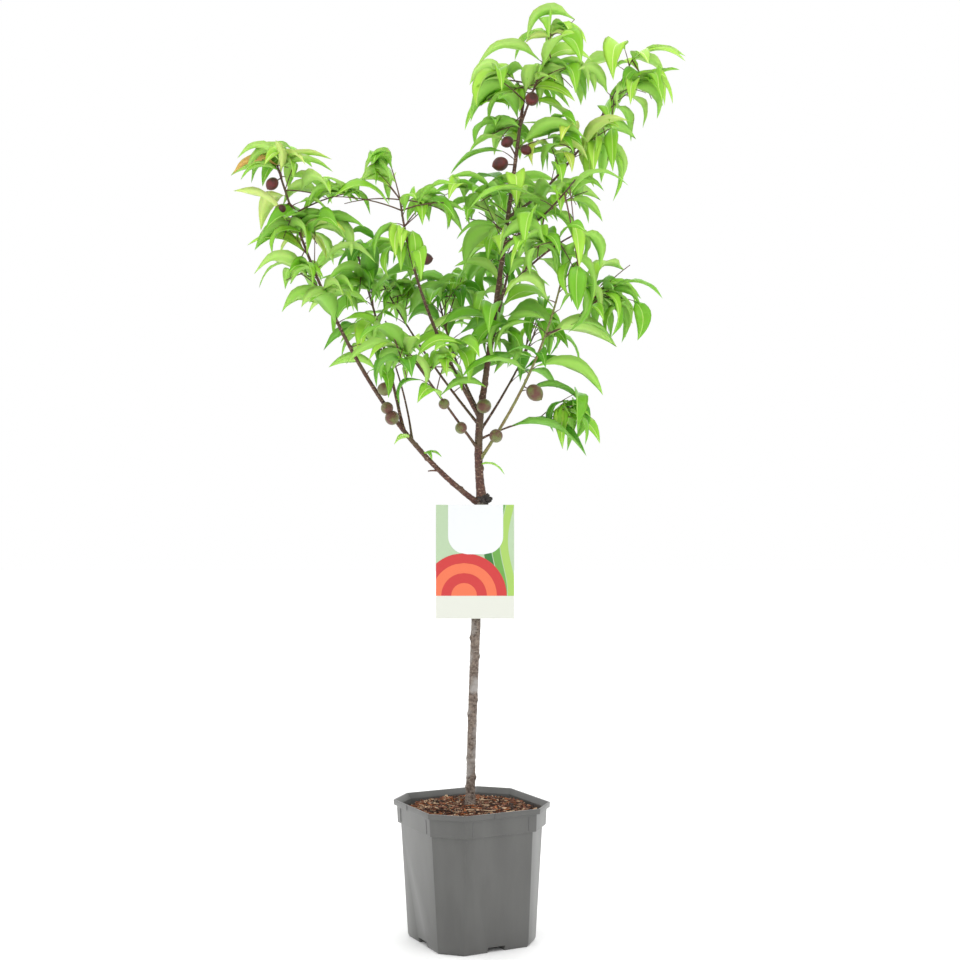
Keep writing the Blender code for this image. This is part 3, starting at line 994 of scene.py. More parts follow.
LIMBS = (
    Limb("trunk", "", 0.0, (0.0150, 0.0, 0.616), (-0.002, 0.0, 0.0), (0.0062, 0.0068), Bark.TRUNK),
    Limb("stem", "trunk", 1.0, (0.013, 0.0, 0.744), (-0.004, 0.0, 0.0), (0.0062, 0.0052)),
    Limb("leader", "stem", 1.0, (0.077, 0.0, 1.212), (0.001, 0.0, 0.0), (0.0046, 0.0021)),
    Limb("top_shoot", "leader", 0.87, (0.112, -0.030, 1.273), (0.002, 0.0, 0.0), (0.0017, 0.0009)),
    Limb("left_bough", "trunk", 0.985, (-0.270, -0.050, 1.083), (-0.019, 0.0, -0.056), (0.0042, 0.0014)),
    Limb("left_inner_bough", "left_bough", 0.33, (-0.168, 0.080, 0.977), (0.004, 0.0, -0.003), (0.0024, 0.0012)),
    Limb("left_slim_bough", "left_bough", 0.29, (-0.128, 0.050, 0.858), (0.006, 0.0, -0.001), (0.0016, 0.0009)),
    Limb("middle_bough", "stem", 0.93, (-0.099, -0.050, 1.035), (-0.019, 0.0, 0.002), (0.0030, 0.0014)),
    Limb("front_left_bough", "stem", 0.57, (-0.115, -0.120, 0.857), (-0.002, 0.0, 0.003), (0.0020, 0.0011)),
    Limb("back_left_bough", "stem", 0.84, (-0.133, 0.130, 0.941), (-0.005, 0.0, -0.003), (0.0020, 0.0011)),
    Limb("centre_bough", "stem", 0.96, (-0.053, 0.120, 0.941), (-0.008, 0.0, -0.003), (0.0022, 0.0011)),
    Limb("back_bough", "leader", 0.025, (0.081, 0.170, 1.064), (-0.006, 0.0, -0.006), (0.0026, 0.0013)),
    Limb("low_bough", "stem", 0.68, (0.128, 0.020, 0.738), (-0.001, 0.0, 0.006), (0.0015, 0.0009)),
    Limb("back_right_bough", "stem", 0.76, (0.095, 0.115, 0.870), (0.002, 0.0, -0.004), (0.0020, 0.0011)),
    Limb("green_bough", "stem", 0.44, (0.123, -0.060, 0.915), (0.015, 0.0, 0.002), (0.0024, 0.0013), Bark.GREEN),
    Limb("green_side_bough", "green_bough", 0.72, (0.188, 0.0, 0.912), (0.0, 0.0, -0.009), (0.0016, 0.0010)),
    Limb("right_bough", "leader", 0.59, (0.234, 0.050, 1.260), (0.003, 0.0, -0.029), (0.0022, 0.0010)),
    Limb("front_bough", "leader", 0.33, (0.145, -0.110, 0.978), (0.0, -0.008, 0.010), (0.0020, 0.0010)),
    Limb("front_right_bough", "leader", 0.51, (0.141, -0.100, 1.052), (0.001, 0.0, -0.009), (0.0020, 0.0010)),
)


SCARS = {
    "trunk": (
        Knob(0.142, 3.4, 0.0030, 0.0030),
        Knob(0.165, 2.9, 0.0036, 0.0038),
        Knob(0.955, 3.9, 0.0030, 0.0050),
        Knob(0.975, 2.5, 0.0034, 0.0044),
    ),
    "left_bough": (Knob(0.17, 3.0, 0.0042, 0.0026),),
}


class Skeleton:
    """The centre line of every limb."""

    def __init__(self, foot: Vector) -> None:
        """Lay the lines out.

        Args:
            foot: The trunk's foot.
        """
        self.limbs = {limb.name: limb for limb in LIMBS}
        self.lines: dict[str, tuple[Vector, Vector, Vector]] = {}
        for limb in LIMBS:
            start = self.point(limb.parent, limb.leaves_at) if limb.parent else foot
            self.lines[limb.name] = (start, Vector(limb.tip), Vector(limb.bow))

    def point(self, name: str, share: float) -> Vector:
        """A point along a limb.

        Args:
            name: Name of the limb.
            share: Share of the way from its foot to its tip.

        Returns:
            The point.
        """
        foot, tip, bow = self.lines[name]
        middle = (foot + tip) / 2.0 + 2.0 * bow
        return foot * (1.0 - share) ** 2 + middle * (2.0 * share * (1.0 - share)) + tip * share**2

    def length(self, name: str) -> float:
        """Length of the named limb from foot to tip."""
        points = [self.point(name, i / 20.0) for i in range(21)]
        return sum((b - a).length for a, b in zip(points, points[1:]))


@dataclass
class Limbs:
    """Trunk and boughs as barked tubes with pores, buds, scars and a graft knuckle."""

    skeleton: Skeleton
    ring_gap: float = 0.0022
    bark_depth: float = 0.00042
    foot_swell: float = 0.55
    swell_reach: float = 0.010
    root_flare: float = 0.0022
    flare_share: float = 0.03
    knuckle_swell: float = 0.0035
    knuckle_share: float = 0.035
    bud_gap: float = 0.021
    bud_turn: float = 2.4
    stout: float = 0.004
    burr_place: tuple = (0.0175, -0.0005, 0.6185)
    burr_half: tuple = (0.0108, 0.0098, 0.0082)

    def radius(self, limb: Limb, share: float, length: float) -> float:
        """Plain radius of the limb at a share of its length.

        Args:
            limb: The limb.
            share: Share of its length.
            length: Its length in metres.

        Returns:
            The radius in metres.
        """
        plain = limb.radii[0] + (limb.radii[1] - limb.radii[0]) * share
        if limb.name == "trunk":
            plain += self.root_flare * math.exp(-share / self.flare_share)
            off = (1.0 - self.knuckle_share - share) / self.knuckle_share
            plain += self.knuckle_swell * math.exp(-(off**2))
            return plain
        return plain * (1.0 + self.foot_swell * math.exp(-share * length / self.swell_reach))

    def knobs(self, limb: Limb, length: float) -> list[Knob]:
        """Buds at their spacing up the limb, each a quarter turn and a bit from the last.

        Args:
            limb: The limb.
            length: Its length in metres.

        Returns:
            The limb's knobs.
        """
        chance = random.Random(limb.name)
        knobs = list(SCARS.get(limb.name, ()))
        count = int(length / self.bud_gap)
        for i in range(1, count):
            share = (i + chance.uniform(-0.25, 0.25)) / count
            size = self.radius(limb, share, length)
            side = self.bud_turn * i + chance.uniform(-0.4, 0.4)
            knobs.append(Knob(share, side, size * 0.30, size * 0.55))
        return knobs

    def build(self) -> None:
        """Build and dress every limb."""
        finishes = {bark: bark.value.make() for bark in Bark}
        for limb in LIMBS:
            piece = self.tube(limb)
            piece.data.materials.append(finishes[limb.bark])
            hand_over(piece, limb.bark.value.name, limb.name)
        self.build_burr(finishes[Bark.BURR])

    def build_burr(self, finish: bpy.types.Material) -> None:
        """The dark ragged burr round the graft, at the trunk's top.

        Args:
            finish: Its material.
        """
        deselect()
        bpy.ops.mesh.primitive_ico_sphere_add(subdivisions=5, radius=1.0)
        burr = bpy.context.object
        burr.name = "graft_burr"
        for vert in burr.data.vertices:
            rough = 1.0 + 0.30 * noise.noise(vert.co * 2.1) + 0.16 * noise.noise(vert.co * 6.3)
            for k in range(3):
                vert.co[k] *= rough * self.burr_half[k]
        burr.location = self.burr_place
        settle(burr)
        burr.data.shade_smooth()
        burr.data.materials.append(finish)
        hand_over(burr, "trunk_bark")

    def tube(self, limb: Limb) -> bpy.types.Object:
        """One limb's barked tube with closed ends.

        Args:
            limb: The limb.

        Returns:
            The new piece.
        """
        length = self.skeleton.length(limb.name)
        rings = max(14, int(length / self.ring_gap))
        sides = 24 if limb.radii[0] > self.stout else 12
        knobs = self.knobs(limb, length)
        verts = []
        for i in range(rings + 1):
            share = i / rings
            here = self.skeleton.point(limb.name, share)
            ahead = self.skeleton.point(limb.name, min(1.0, share + 0.01))
            behind = self.skeleton.point(limb.name, max(0.0, share - 0.01))
            along = (ahead - behind).normalized()
            across = (Vector((0.0, 1.0, 0.0)) - along * along.y).normalized()
            other = along.cross(across)
            plain = self.radius(limb, share, length)
            near = [knob for knob in knobs if abs(knob.share - share) * length < 4.0 * knob.width]
            for side in range(sides):
                angle = math.tau * side / sides
                out = across * math.cos(angle) + other * math.sin(angle)
                spot = here + out * plain
                deep = self.bark_depth * min(1.0, plain / self.stout)
                relief = deep * noise.noise(spot * 330.0)
                ridge = Vector((spot.x * 120.0, spot.y * 120.0, share * length * 900.0))
                relief += deep * 0.8 * noise.noise(ridge)
                for knob in near:
                    gap = ((share - knob.share) * length / knob.width) ** 2
                    turn = math.atan2(math.sin(angle - knob.side), math.cos(angle - knob.side))
                    relief += knob.height * math.exp(-gap - (turn / 0.55) ** 2)
                verts.append(list(here + out * (plain + relief)))
        return mesh_piece("barked_" + limb.name, np.array(verts), tube_faces(0, rings, sides))


# Leaves, twigs and fruit
@dataclass(frozen=True)
class Spray:
    """Leaves on a spur: its limb and share along it, and their number, length, heading and tint."""

    limb: str
    share: float
    leaves: int
    long: float
    heading: float
    tint: Tint


# Tints: the young and amber ones are the leaves' own colours; the other four are painted light and shade steps
# of one green.
SPRAYS = (
    Spray("top_shoot", 1.0, 2, 0.052, 0.0, Tint.YOUNG),
    Spray("top_shoot", 0.97, 1, 0.040, 190.0, Tint.YOUNG),
    Spray("leader", 0.98, 3, 0.095, 0.0, Tint.SUNLIT),
    Spray("right_bough", 1.0, 4, 0.090, -20.0, Tint.SUNLIT),
    Spray("left_bough", 1.0, 1, 0.085, 190.0, Tint.AMBER),
    Spray("left_bough", 0.99, 2, 0.080, 200.0, Tint.FRESH),
    Spray("left_bough", 1.0, 2, 0.095, -20.0, Tint.YOUNG),
    Spray("left_bough", 0.30, 2, 0.034, 215.0, Tint.SUNLIT),
    Spray("left_bough", 0.24, 2, 0.032, -40.0, Tint.MID),
    Spray("stem", 0.40, 1, 0.050, -30.0, Tint.FRESH),
    Spray("low_bough", 1.0, 3, 0.062, -30.0, Tint.FRESH),
    Spray("green_side_bough", 1.0, 3, 0.075, -30.0, Tint.MID),
    Spray("green_bough", 0.60, 2, 0.070, 250.0, Tint.DEEP),
)


@dataclass(frozen=True)
class LeafPlan:
    """One leaf: its stalk's start, the point it bends towards, its tip, width, turn, twist, fold and tint."""

    base: Vector
    bend: Vector
    tip: Vector
    width: float
    roll: float
    twist: float
    fold: float
    phase: float
    tint: Tint


@dataclass
class LeafShape:
    """The outline and relief that every leaf shares: two skins, a raised midrib and wavy edges."""

    rows: int = 10
    across: int = 7
    stalk: float = 0.08
    stalk_half: float = 0.0007
    rib_half: float = 0.0006
    thickness: float = 0.0004
    belly: float = 0.045
    quilt: float = 0.012
    wave: float = 0.045
    waves: float = 2.5
    lead: float = 0.70
    taper: float = 1.15

    def rows_of(self, plan: LeafPlan) -> np.ndarray:
        """Corner places of one leaf, seven to a row.

        Args:
            plan: The leaf.

        Returns:
            Rows of corners from the stalk to the tip.
        """
        t = np.linspace(0.0, 1.0, self.rows + 1)[:, None]
        base, bend, tip = (np.array(point) for point in (plan.base, plan.bend, plan.tip))
        centre = base * (1 - t) ** 2 + bend * 2 * t * (1 - t) + tip * t**2
        along = (1 - t) * (bend - base) + t * (tip - bend)
        along /= np.linalg.norm(along, axis=1)[:, None]
        normal = np.cross(tip - bend, bend - base)
        if np.linalg.norm(normal) < 1e-7:
            normal = np.cross(tip - base, (0.3, 1.0, 0.2))
        side = np.broadcast_to(normal / np.linalg.norm(normal), along.shape)
        face = np.cross(side, along)
        if face[self.rows // 2][2] < -0.2:
            side, face = -side, -face
        angle = plan.roll + plan.twist * t
        side, face = side * np.cos(angle) + face * np.sin(angle), face * np.cos(angle) - side * np.sin(angle)
        blade = np.clip((t - self.stalk) / (1.0 - self.stalk), 0.0, 1.0)
        widest = self.lead / (self.lead + self.taper)
        outline = blade**self.lead * (1.0 - blade) ** self.taper
        outline /= widest**self.lead * (1.0 - widest) ** self.taper
        half = plan.width / 2.0 * outline + self.stalk_half * (1.0 - blade)
        ripple = self.wave * plan.width * np.sin(2 * math.pi * self.waves * t + plan.phase) * outline
        counter = self.wave * plan.width * np.sin(2 * math.pi * self.waves * t + plan.phase + 2.2) * outline
        quilt = self.quilt * plan.width * np.where(np.arange(self.rows + 1) % 2, 1.0, -1.0)[:, None] * outline
        rise = math.tan(plan.fold)
        rib = np.minimum(self.rib_half, half * 0.5)
        belly = self.belly * plan.width * outline + quilt

        def strip(offset: np.ndarray, lift: np.ndarray) -> np.ndarray:
            """Corners along one line of the blade."""
            return centre + side * offset + face * lift

        left_edge = strip(-half, half * rise + ripple)
        left_mid = strip(-half * 0.55, half * 0.55 * rise + ripple * 0.3 + belly)
        left_rib = strip(-rib, rib * rise)
        right_rib = strip(rib, rib * rise)
        right_mid = strip(half * 0.55, half * 0.55 * rise + counter * 0.3 + belly)
        right_edge = strip(half, half * rise + counter)
        under_rib = strip(np.zeros_like(rib), -np.minimum(self.thickness, half * 0.4) * 2.0)
        rows = (left_edge, left_mid, left_rib, right_rib, right_mid, right_edge, under_rib)
        return np.stack(rows, axis=1)

    def faces(self) -> tuple[list[tuple[int, ...]], list[int]]:
        """Faces of one leaf and the part each belongs to.

        Returns:
            The faces, and for each 0 for the upper skin, 1 for the underside and 2 for the midrib.
        """
        faces: list[tuple[int, ...]] = []
        parts: list[int] = []
        upper = ((0, 1, 0), (1, 2, 0), (2, 3, 2), (3, 4, 0), (4, 5, 0))
        under = ((0, 6), (6, 5))
        for row in range(self.rows):
            here = row * self.across
            ahead = here + self.across
            for a, b, part in upper:
                faces.append((here + a, here + b, ahead + b, ahead + a))
                parts.append(part)
            for a, b in under:
                faces.append((here + b, here + a, ahead + a, ahead + b))
                parts.append(1)
        faces.append(tuple(reversed(range(self.across))))
        faces.append(tuple(self.rows * self.across + corner for corner in range(self.across)))
        parts += [1, 1]
        return faces, parts


@dataclass(frozen=True)
class Mass:
    """The room of one mass of leaves: its node, its middle and its half sizes."""

    name: str
    centre: Vector
    half: Vector

    def stretch(self, point: Vector) -> float:
        """How far out a point lies: 0 in the middle and 1 on the outline."""
        off = point - self.centre
        return math.sqrt(sum((off[k] / self.half[k]) ** 2 for k in range(3)))


@dataclass
class Crown:
    """Shoots and leaves, grown from the limbs into the room of each mass by a seeded rule."""

    skeleton: Skeleton
    studio: Studio
    leaf: LeafShape = field(default_factory=LeafShape)
    leaves_per_litre: float = 24.0
    fewest: int = 8
    most: int = 17
    leaves_per_shoot: float = 2.5
    length: tuple = (0.075, 0.135)
    slenderness: float = 0.225
    node_gap: float = 0.0185
    first_leaf: float = 0.22
    anchor_reach: float = 1.55
    limb_reach: float = 1.75
    box_margin: float = 0.010
    stub_share: float = 0.17
    stub_reach: tuple = (-0.017, -0.002, 0.0)
    climb: tuple = (0.0, 60.0)
    hanging_climb: tuple = (-40.0, 35.0)
    curl: tuple = (58.0, 112.0)
    spray_fan: float = 0.75
    spur: tuple = (0.004, 0.022)
    spur_rise: tuple = (0.1, 0.9)
    spur_radius: float = 0.0009
    stub_radius: float = 0.0017
    skins: tuple = (("upper", 0.42), ("under", 0.6), ("rib", 0.5))
    room: float = 1.18
    tries: int = 28

    def __post_init__(self) -> None:
        """Prepare the shared faces and the lists that the shoots fill."""
        self.leaf_faces, self.leaf_parts = self.leaf.faces()
        self.twigs: list[tuple[list[Vector], float]] = []
        self.plans: dict[str, list[LeafPlan]] = {}
        self.materials: dict[tuple[Tint, int], bpy.types.Material] = {}
        self.nodes = [self.skeleton.point(limb.name, i / 40.0) for limb in LIMBS[1:] for i in range(4, 41)]
        self.low, self.high = (Vector(corner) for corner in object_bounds())

    def fits(self, *points: Vector) -> bool:
        """Whether the points keep to the model's box and its small margin."""
        low, high, margin = self.low, self.high, self.box_margin
        return all(low[k] - margin < point[k] < high[k] + margin for point in points for k in range(3))

    def material(self, tint: Tint, part: int) -> bpy.types.Material:
        """The material of one part of a leaf.

        Args:
            tint: The leaf's tint.
            part: 0 for the upper skin, 1 for the underside and 2 for the midrib.

        Returns:
            The material.
        """
        if (tint, part) not in self.materials:
            word, rough = self.skins[part]
            colour = getattr(tint.value, word)
            finish = PlainFinish(f"leaf_{tint.value.name}_{word}", colour, rough, 420.0, 0.0005, 0.35, 0.3)
            self.materials[(tint, part)] = finish.make()
        return self.materials[(tint, part)]

    def grow_all(self, names: list[str]) -> None:
        """Grow every mass, then the sprays and the leaves along the boughs.

        Args:
            names: The nodes of the masses.
        """
        masses = []
        for name in names:
            low, high = (Vector(corner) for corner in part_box(name))
            masses.append(Mass(name, (low + high) / 2.0, (high - low) / 2.0))
        for number, mass in enumerate(masses):
            self.plans[mass.name] = []
            self.grow(mass, random.Random(SEED * 100 + number))
        chance = random.Random(SEED)
        for spray in SPRAYS:
            self.add_spray(spray, masses, chance)
        for limb in LIMBS[1:]:
            self.leaf_limb(limb, masses, chance)
        stub_foot = self.skeleton.point("left_bough", self.stub_share)
        self.add_twig(stub_foot, stub_foot + Vector(self.stub_reach), self.stub_radius)

    def build(self) -> None:
        """Join each mass's leaves, and all the twigs."""
        for name in self.plans:
            self.build_leaves(name)
        self.build_twigs()

    def anchors(self, mass: Mass) -> list[Vector]:
        """Points of the limbs in or close to the mass, or else the nearest one."""
        inside = [node for node in self.nodes if mass.stretch(node) < self.anchor_reach]
        return inside or [min(self.nodes, key=mass.stretch)]

    def painted_light_tint(self, chance: random.Random, place: Vector) -> Tint:
        """A spray's colour, with light and shade painted in: brighter high, out at the sides and towards the
        front, where light falls, and deeper low and inside, where shade falls.

        Args:
            chance: Source of draws.
            place: Where the spray is.

        Returns:
            The tint.
        """
        # Painted light: a score of how lit the spot is, from its height, its reach to the sides and how far
        # forward it is.
        light = (place.z - 0.75) / 0.5 + abs(place.x - 0.02) / 0.5 - place.y * 1.5 + chance.gauss(0.0, 0.35)
        if light > 1.25:
            return Tint.YOUNG if chance.random() < 0.2 else Tint.SUNLIT
        if light > 0.70:
            return Tint.SUNLIT if chance.random() < 0.35 else Tint.FRESH
        if light > 0.20:
            return Tint.FRESH if chance.random() < 0.45 else Tint.MID
        return Tint.DEEP if chance.random() < 0.6 else Tint.MID

    def grow(self, mass: Mass, chance: random.Random) -> None:
        """Grow one mass: shoots from the limbs, with leaves that arch out to the mass's outline.

        Args:
            mass: The mass.
            chance: Source of draws.
        """
        half = mass.half
        litres = UNIT_BALL * half.x * half.y * half.z * 1000.0
        goal = int(min(self.most, max(self.fewest, litres * self.leaves_per_litre)))
        shoots = max(3, round(goal / self.leaves_per_shoot))
        anchors = self.anchors(mass)
        buds: list[tuple[Vector, Tint]] = []
        for number in range(shoots):
            start = anchors[int((number + chance.random()) / shoots * len(anchors)) % len(anchors)]
            height = 1.0 - 2.0 * (number + 0.5) / shoots
            turn = GOLDEN_TURN * number + chance.uniform(-0.3, 0.3)
            flat = math.sqrt(max(0.0, 1.0 - height * height))
            way = Vector((flat * math.cos(turn), flat * math.sin(turn), height))
            end = mass.centre + Vector([way[k] * half[k] for k in range(3)]) * chance.uniform(0.30, 0.62)
            path = self.add_twig(start, end, chance.uniform(0.0008, 0.0013))
            tint = self.painted_light_tint(chance, end)
            buds += [(point, tint) for point in path[3:]]
        for _ in range(goal):
            self.plans[mass.name].append(self.plan_leaf(chance, mass, buds))

    def add_twig(self, start: Vector, end: Vector, radius: float) -> list[Vector]:
        """Add a gently bowed twig.

        Args:
            start: Its foot.
            end: Its tip.
            radius: Its radius at the foot.

        Returns:
            The points along it.
        """
        middle = (start + end) / 2.0 + Vector((0.0, 0.0, 0.10 * (end - start).length))
        path = []
        for i in range(9):
            share = i / 8.0
            path.append(start * (1 - share) ** 2 + middle * (2 * share * (1 - share)) + end * share**2)
        self.twigs.append((path, radius))
        return path

    def plan_leaf(self, chance: random.Random, mass: Mass, buds: list[tuple[Vector, Tint]]) -> LeafPlan:
        """Plan the leaf that fits the mass and keeps clearest of those before it.

        Args:
            chance: Source of draws.
            mass: The mass.
            buds: Places that leaves may grow from, with their spray's tint.

        Returns:
            The leaf.
        """
        before = self.plans[mass.name]
        hanging = mass.half.z > 1.3 * mass.half.x
        best, best_score = None, -1e9
        for _ in range(self.tries):
            base, tint = chance.choice(buds)
            long = chance.uniform(*self.length)
            turn = chance.uniform(0.0, math.tau)
            climb = math.radians(chance.uniform(*(self.hanging_climb if hanging else self.climb)))
            fall = climb - math.radians(chance.uniform(*self.curl))
            bend, tip = self.arch(base, long, turn, climb, fall)
            middle = (base + 2.0 * bend + tip) / 4.0
            out = max(mass.stretch(tip), mass.stretch(middle), mass.stretch((bend + tip) / 2.0))
            spread = min([0.05] + [min((tip - p.tip).length, (middle - p.bend).length) for p in before])
            score = spread - 0.10 * max(0.0, out - self.room) + 0.01 * min(out, 1.0)
            score -= 0.0 if self.fits(tip, middle) else 1.0
            if score > best_score:
                best, best_score = (base, bend, tip, long, tint), score
        base, bend, tip, long, tint = best
        # A quarter of the leaves take a random step of the painted light and shade greens instead of their
        # spray's.
        if chance.random() < 0.25:
            tint = chance.choice((Tint.FRESH, Tint.MID, Tint.SUNLIT))
        return self.finish_leaf(chance, base, bend, tip, long, tint)

    def add_spray(self, spray: Spray, masses: list[Mass], chance: random.Random) -> None:
        """Add a spray's leaves, fanned round its heading, to the masses that they reach.

        Args:
            spray: The spray.
            masses: All masses.
            chance: Source of draws.
        """
        base = self.skeleton.point(spray.limb, spray.share)
        for number in range(spray.leaves):
            fan = self.spray_fan * (number - (spray.leaves - 1) / 2.0)
            turn = math.radians(spray.heading) + fan + chance.uniform(-0.2, 0.2)
            long = spray.long * chance.uniform(0.85, 1.15)
            climb = math.radians(chance.uniform(10.0, 40.0))
            bend, tip = self.arch(base, long, turn, climb, climb - math.radians(chance.uniform(55.0, 90.0)))
            near = min(masses, key=lambda mass: mass.stretch((base + tip) / 2.0))
            self.plans[near.name].append(self.finish_leaf(chance, base, bend, tip, long, spray.tint))

    def leaf_limb(self, limb: Limb, masses: list[Mass], chance: random.Random) -> None:
        """Set leaves on short spurs along a bough, each turned on from the last, where masses are near.

        Args:
            limb: The bough.
            masses: All masses.
            chance: Source of draws.
        """
        count = int(self.skeleton.length(limb.name) / self.node_gap)
        for number in range(count):
            share = self.first_leaf + (1.0 - self.first_leaf) * (number + chance.random()) / count
            node = self.skeleton.point(limb.name, share)
            turn = GOLDEN_TURN * number + chance.uniform(-0.5, 0.5)
            long = chance.uniform(*self.length)
            climb = math.radians(chance.uniform(*self.climb))
            fall = climb - math.radians(chance.uniform(*self.curl))
            way = Vector((math.cos(turn), math.sin(turn), chance.uniform(*self.spur_rise)))
            base = node + way * chance.uniform(*self.spur)
            bend, tip = self.arch(base, long, turn, climb, fall)
            near = min(masses, key=lambda mass: mass.stretch((base + tip) / 2.0))
            if near.stretch((base + tip) / 2.0) > self.limb_reach or not self.fits(tip, bend):
                continue
            self.add_twig(node, base, self.spur_radius)
            tint = self.painted_light_tint(chance, base)
            self.plans[near.name].append(self.finish_leaf(chance, base, bend, tip, long, tint))

    def arch(
        self, base: Vector, long: float, turn: float, climb: float, fall: float
    ) -> tuple[Vector, Vector]:
        """The point that a leaf bends towards and its tip.

        Args:
            base: Where its stalk starts.
            long: Its length.
            turn: Its heading, anticlockwise from the right seen from above.
            climb: The angle that it leaves at.
            fall: The angle that its tip points at.

        Returns:
            Both points.
        """
        rise, drop = (
            Vector((math.cos(angle) * math.cos(turn), math.cos(angle) * math.sin(turn), math.sin(angle)))
            for angle in (climb, fall)
        )
        bend = base + rise * (0.52 * long)
        return bend, bend + drop * (0.52 * long)

    def finish_leaf(
        self, chance: random.Random, base: Vector, bend: Vector, tip: Vector, long: float, tint: Tint
    ) -> LeafPlan:
        """Give a leaf its width, turn, twist, fold and wave.

        Args:
            chance: Source of draws.
            base: Where its stalk starts.
            bend: The point that it bends towards.
            tip: Its tip.
            long: Its length.
            tint: Its spray's tint.

        Returns:
            The leaf.
        """
        return LeafPlan(
            base,
            bend,
            tip,
            long * self.slenderness * chance.uniform(0.85, 1.12),
            chance.gauss(0.0, 0.45),
            chance.uniform(-0.7, 0.7),
            math.radians(chance.uniform(12.0, 38.0)),
            chance.uniform(0.0, math.tau),
            tint,
        )

    def build_leaves(self, name: str) -> None:
        """Join the leaves of one mass into a piece that stands for it.

        Args:
            name: The node of the mass.
        """
        verts, faces, kinds = [], [], []
        slots: dict[tuple[Tint, int], int] = {}
        for number, plan in enumerate(self.plans[name]):
            rows = self.leaf.rows_of(plan).reshape(-1, 3)
            first = number * len(rows)
            verts.append(rows)
            for face, part in zip(self.leaf_faces, self.leaf_parts):
                faces.append(tuple(first + corner for corner in face))
                kinds.append(slots.setdefault((plan.tint, part), len(slots)))
        piece = mesh_piece(name.replace("_leaves", "_foliage"), np.concatenate(verts), faces)
        for tint, part in slots:
            piece.data.materials.append(self.material(tint, part))
        piece.data.polygons.foreach_set("material_index", kinds)
        hand_over(piece, "foliage", name)

    def build_twigs(self) -> None:
        """Join every shoot into one piece of thin tapering tubes."""
        sides = 6
        verts: list[list[float]] = []
        faces: list[tuple[int, ...]] = []
        for path, radius in self.twigs:
            first = len(verts)
            for i, here in enumerate(path):
                ahead = path[min(len(path) - 1, i + 1)] - path[max(0, i - 1)]
                along = ahead.normalized()
                across = along.orthogonal().normalized()
                other = along.cross(across)
                size = radius * (1.0 - 0.45 * i / (len(path) - 1))
                for side in range(sides):
                    angle = math.tau * side / sides
                    verts.append(list(here + (across * math.cos(angle) + other * math.sin(angle)) * size))
            faces += tube_faces(first, len(path) - 1, sides)
        piece = mesh_piece("twigs", np.array(verts), faces)
        piece.data.materials.append(bpy.data.materials[Bark.YOUNG.value.name])
        hand_over(piece, "young_bark")


@dataclass(frozen=True)
class FruitSpot:
    """A young fruit: the pixel of the 960 x 960 photo where it shows, and its length in metres."""

    across: float
    down: float
    long: float


@dataclass
class YoungFruit:
    """Small pointed fruits that sit close to the boughs on short stalks."""

    crown: Crown
    red: tuple = (
        FruitSpot(272, 184, 0.021),
        FruitSpot(280, 211, 0.021),
        FruitSpot(532, 99, 0.024),
        FruitSpot(507, 142, 0.020),
        FruitSpot(500, 164, 0.025),
        FruitSpot(526, 150, 0.018),
        FruitSpot(426, 259, 0.021),
    )
    green: tuple = (
        FruitSpot(362, 271, 0.022),
        FruitSpot(385, 389, 0.024),
        FruitSpot(387, 408, 0.022),
        FruitSpot(392, 418, 0.025),
        FruitSpot(444, 404, 0.019),
        FruitSpot(461, 428, 0.021),
        FruitSpot(484, 406, 0.026),
        FruitSpot(496, 436, 0.024),
        FruitSpot(535, 393, 0.028),
    )
    segments: int = 18
    rings: int = 12
    stoutness: float = 0.80
    narrowing: float = 0.28
    point: float = 0.06
    front: float = 0.35
    stalk: float = 0.0010

    def build(self) -> None:
        """Build both ripenesses, each joined into one piece."""
        self.join("red_fruit", self.red, FruitFinish("fruit_red", srgb(70, 34, 34), srgb(112, 40, 44)))
        self.join("green_fruit", self.green, FruitFinish("fruit_green", srgb(112, 118, 66), srgb(104, 66, 54)))

    def join(self, name: str, spots: tuple, finish: FruitFinish) -> None:
        """Model each fruit from a sphere, turned away from its bough, and join them.

        Args:
            name: Name of the piece.
            spots: Where the fruits hang.
            finish: Their skin.
        """
        studio, nodes = self.crown.studio, self.crown.nodes
        fruits = []
        for spot in spots:
            node = min(nodes, key=lambda n: (studio.under_pixel(spot.across, spot.down, n.y) - n).length)
            place = studio.under_pixel(spot.across, spot.down, node.y - self.front * spot.long)
            away = (place - node).normalized() + Vector((0.0, -0.1, -0.35))
            deselect()
            bpy.ops.mesh.primitive_uv_sphere_add(
                segments=self.segments, ring_count=self.rings, radius=spot.long / 2.0
            )
            fruit = bpy.context.object
            for vert in fruit.data.vertices:
                low = max(0.0, -vert.co.z / (spot.long / 2.0))
                slim = self.stoutness * (1.0 - self.narrowing * low**2)
                vert.co.x *= slim
                vert.co.y *= slim
                if vert.co.xy.length < spot.long * 0.02 and vert.co.z < 0.0:
                    vert.co.z -= spot.long * self.point
            fruit.rotation_mode = "QUATERNION"
            fruit.rotation_quaternion = away.to_track_quat("-Z", "Y")
            fruit.location = place
            settle(fruit)
            fruits.append(fruit)
            self.crown.twigs.append(([node, (node + place) / 2.0, place], self.stalk))
        piece = join_all(fruits, name)
        piece.data.shade_smooth()
        piece.data.materials.append(finish.make())
        hand_over(piece, "foliage")


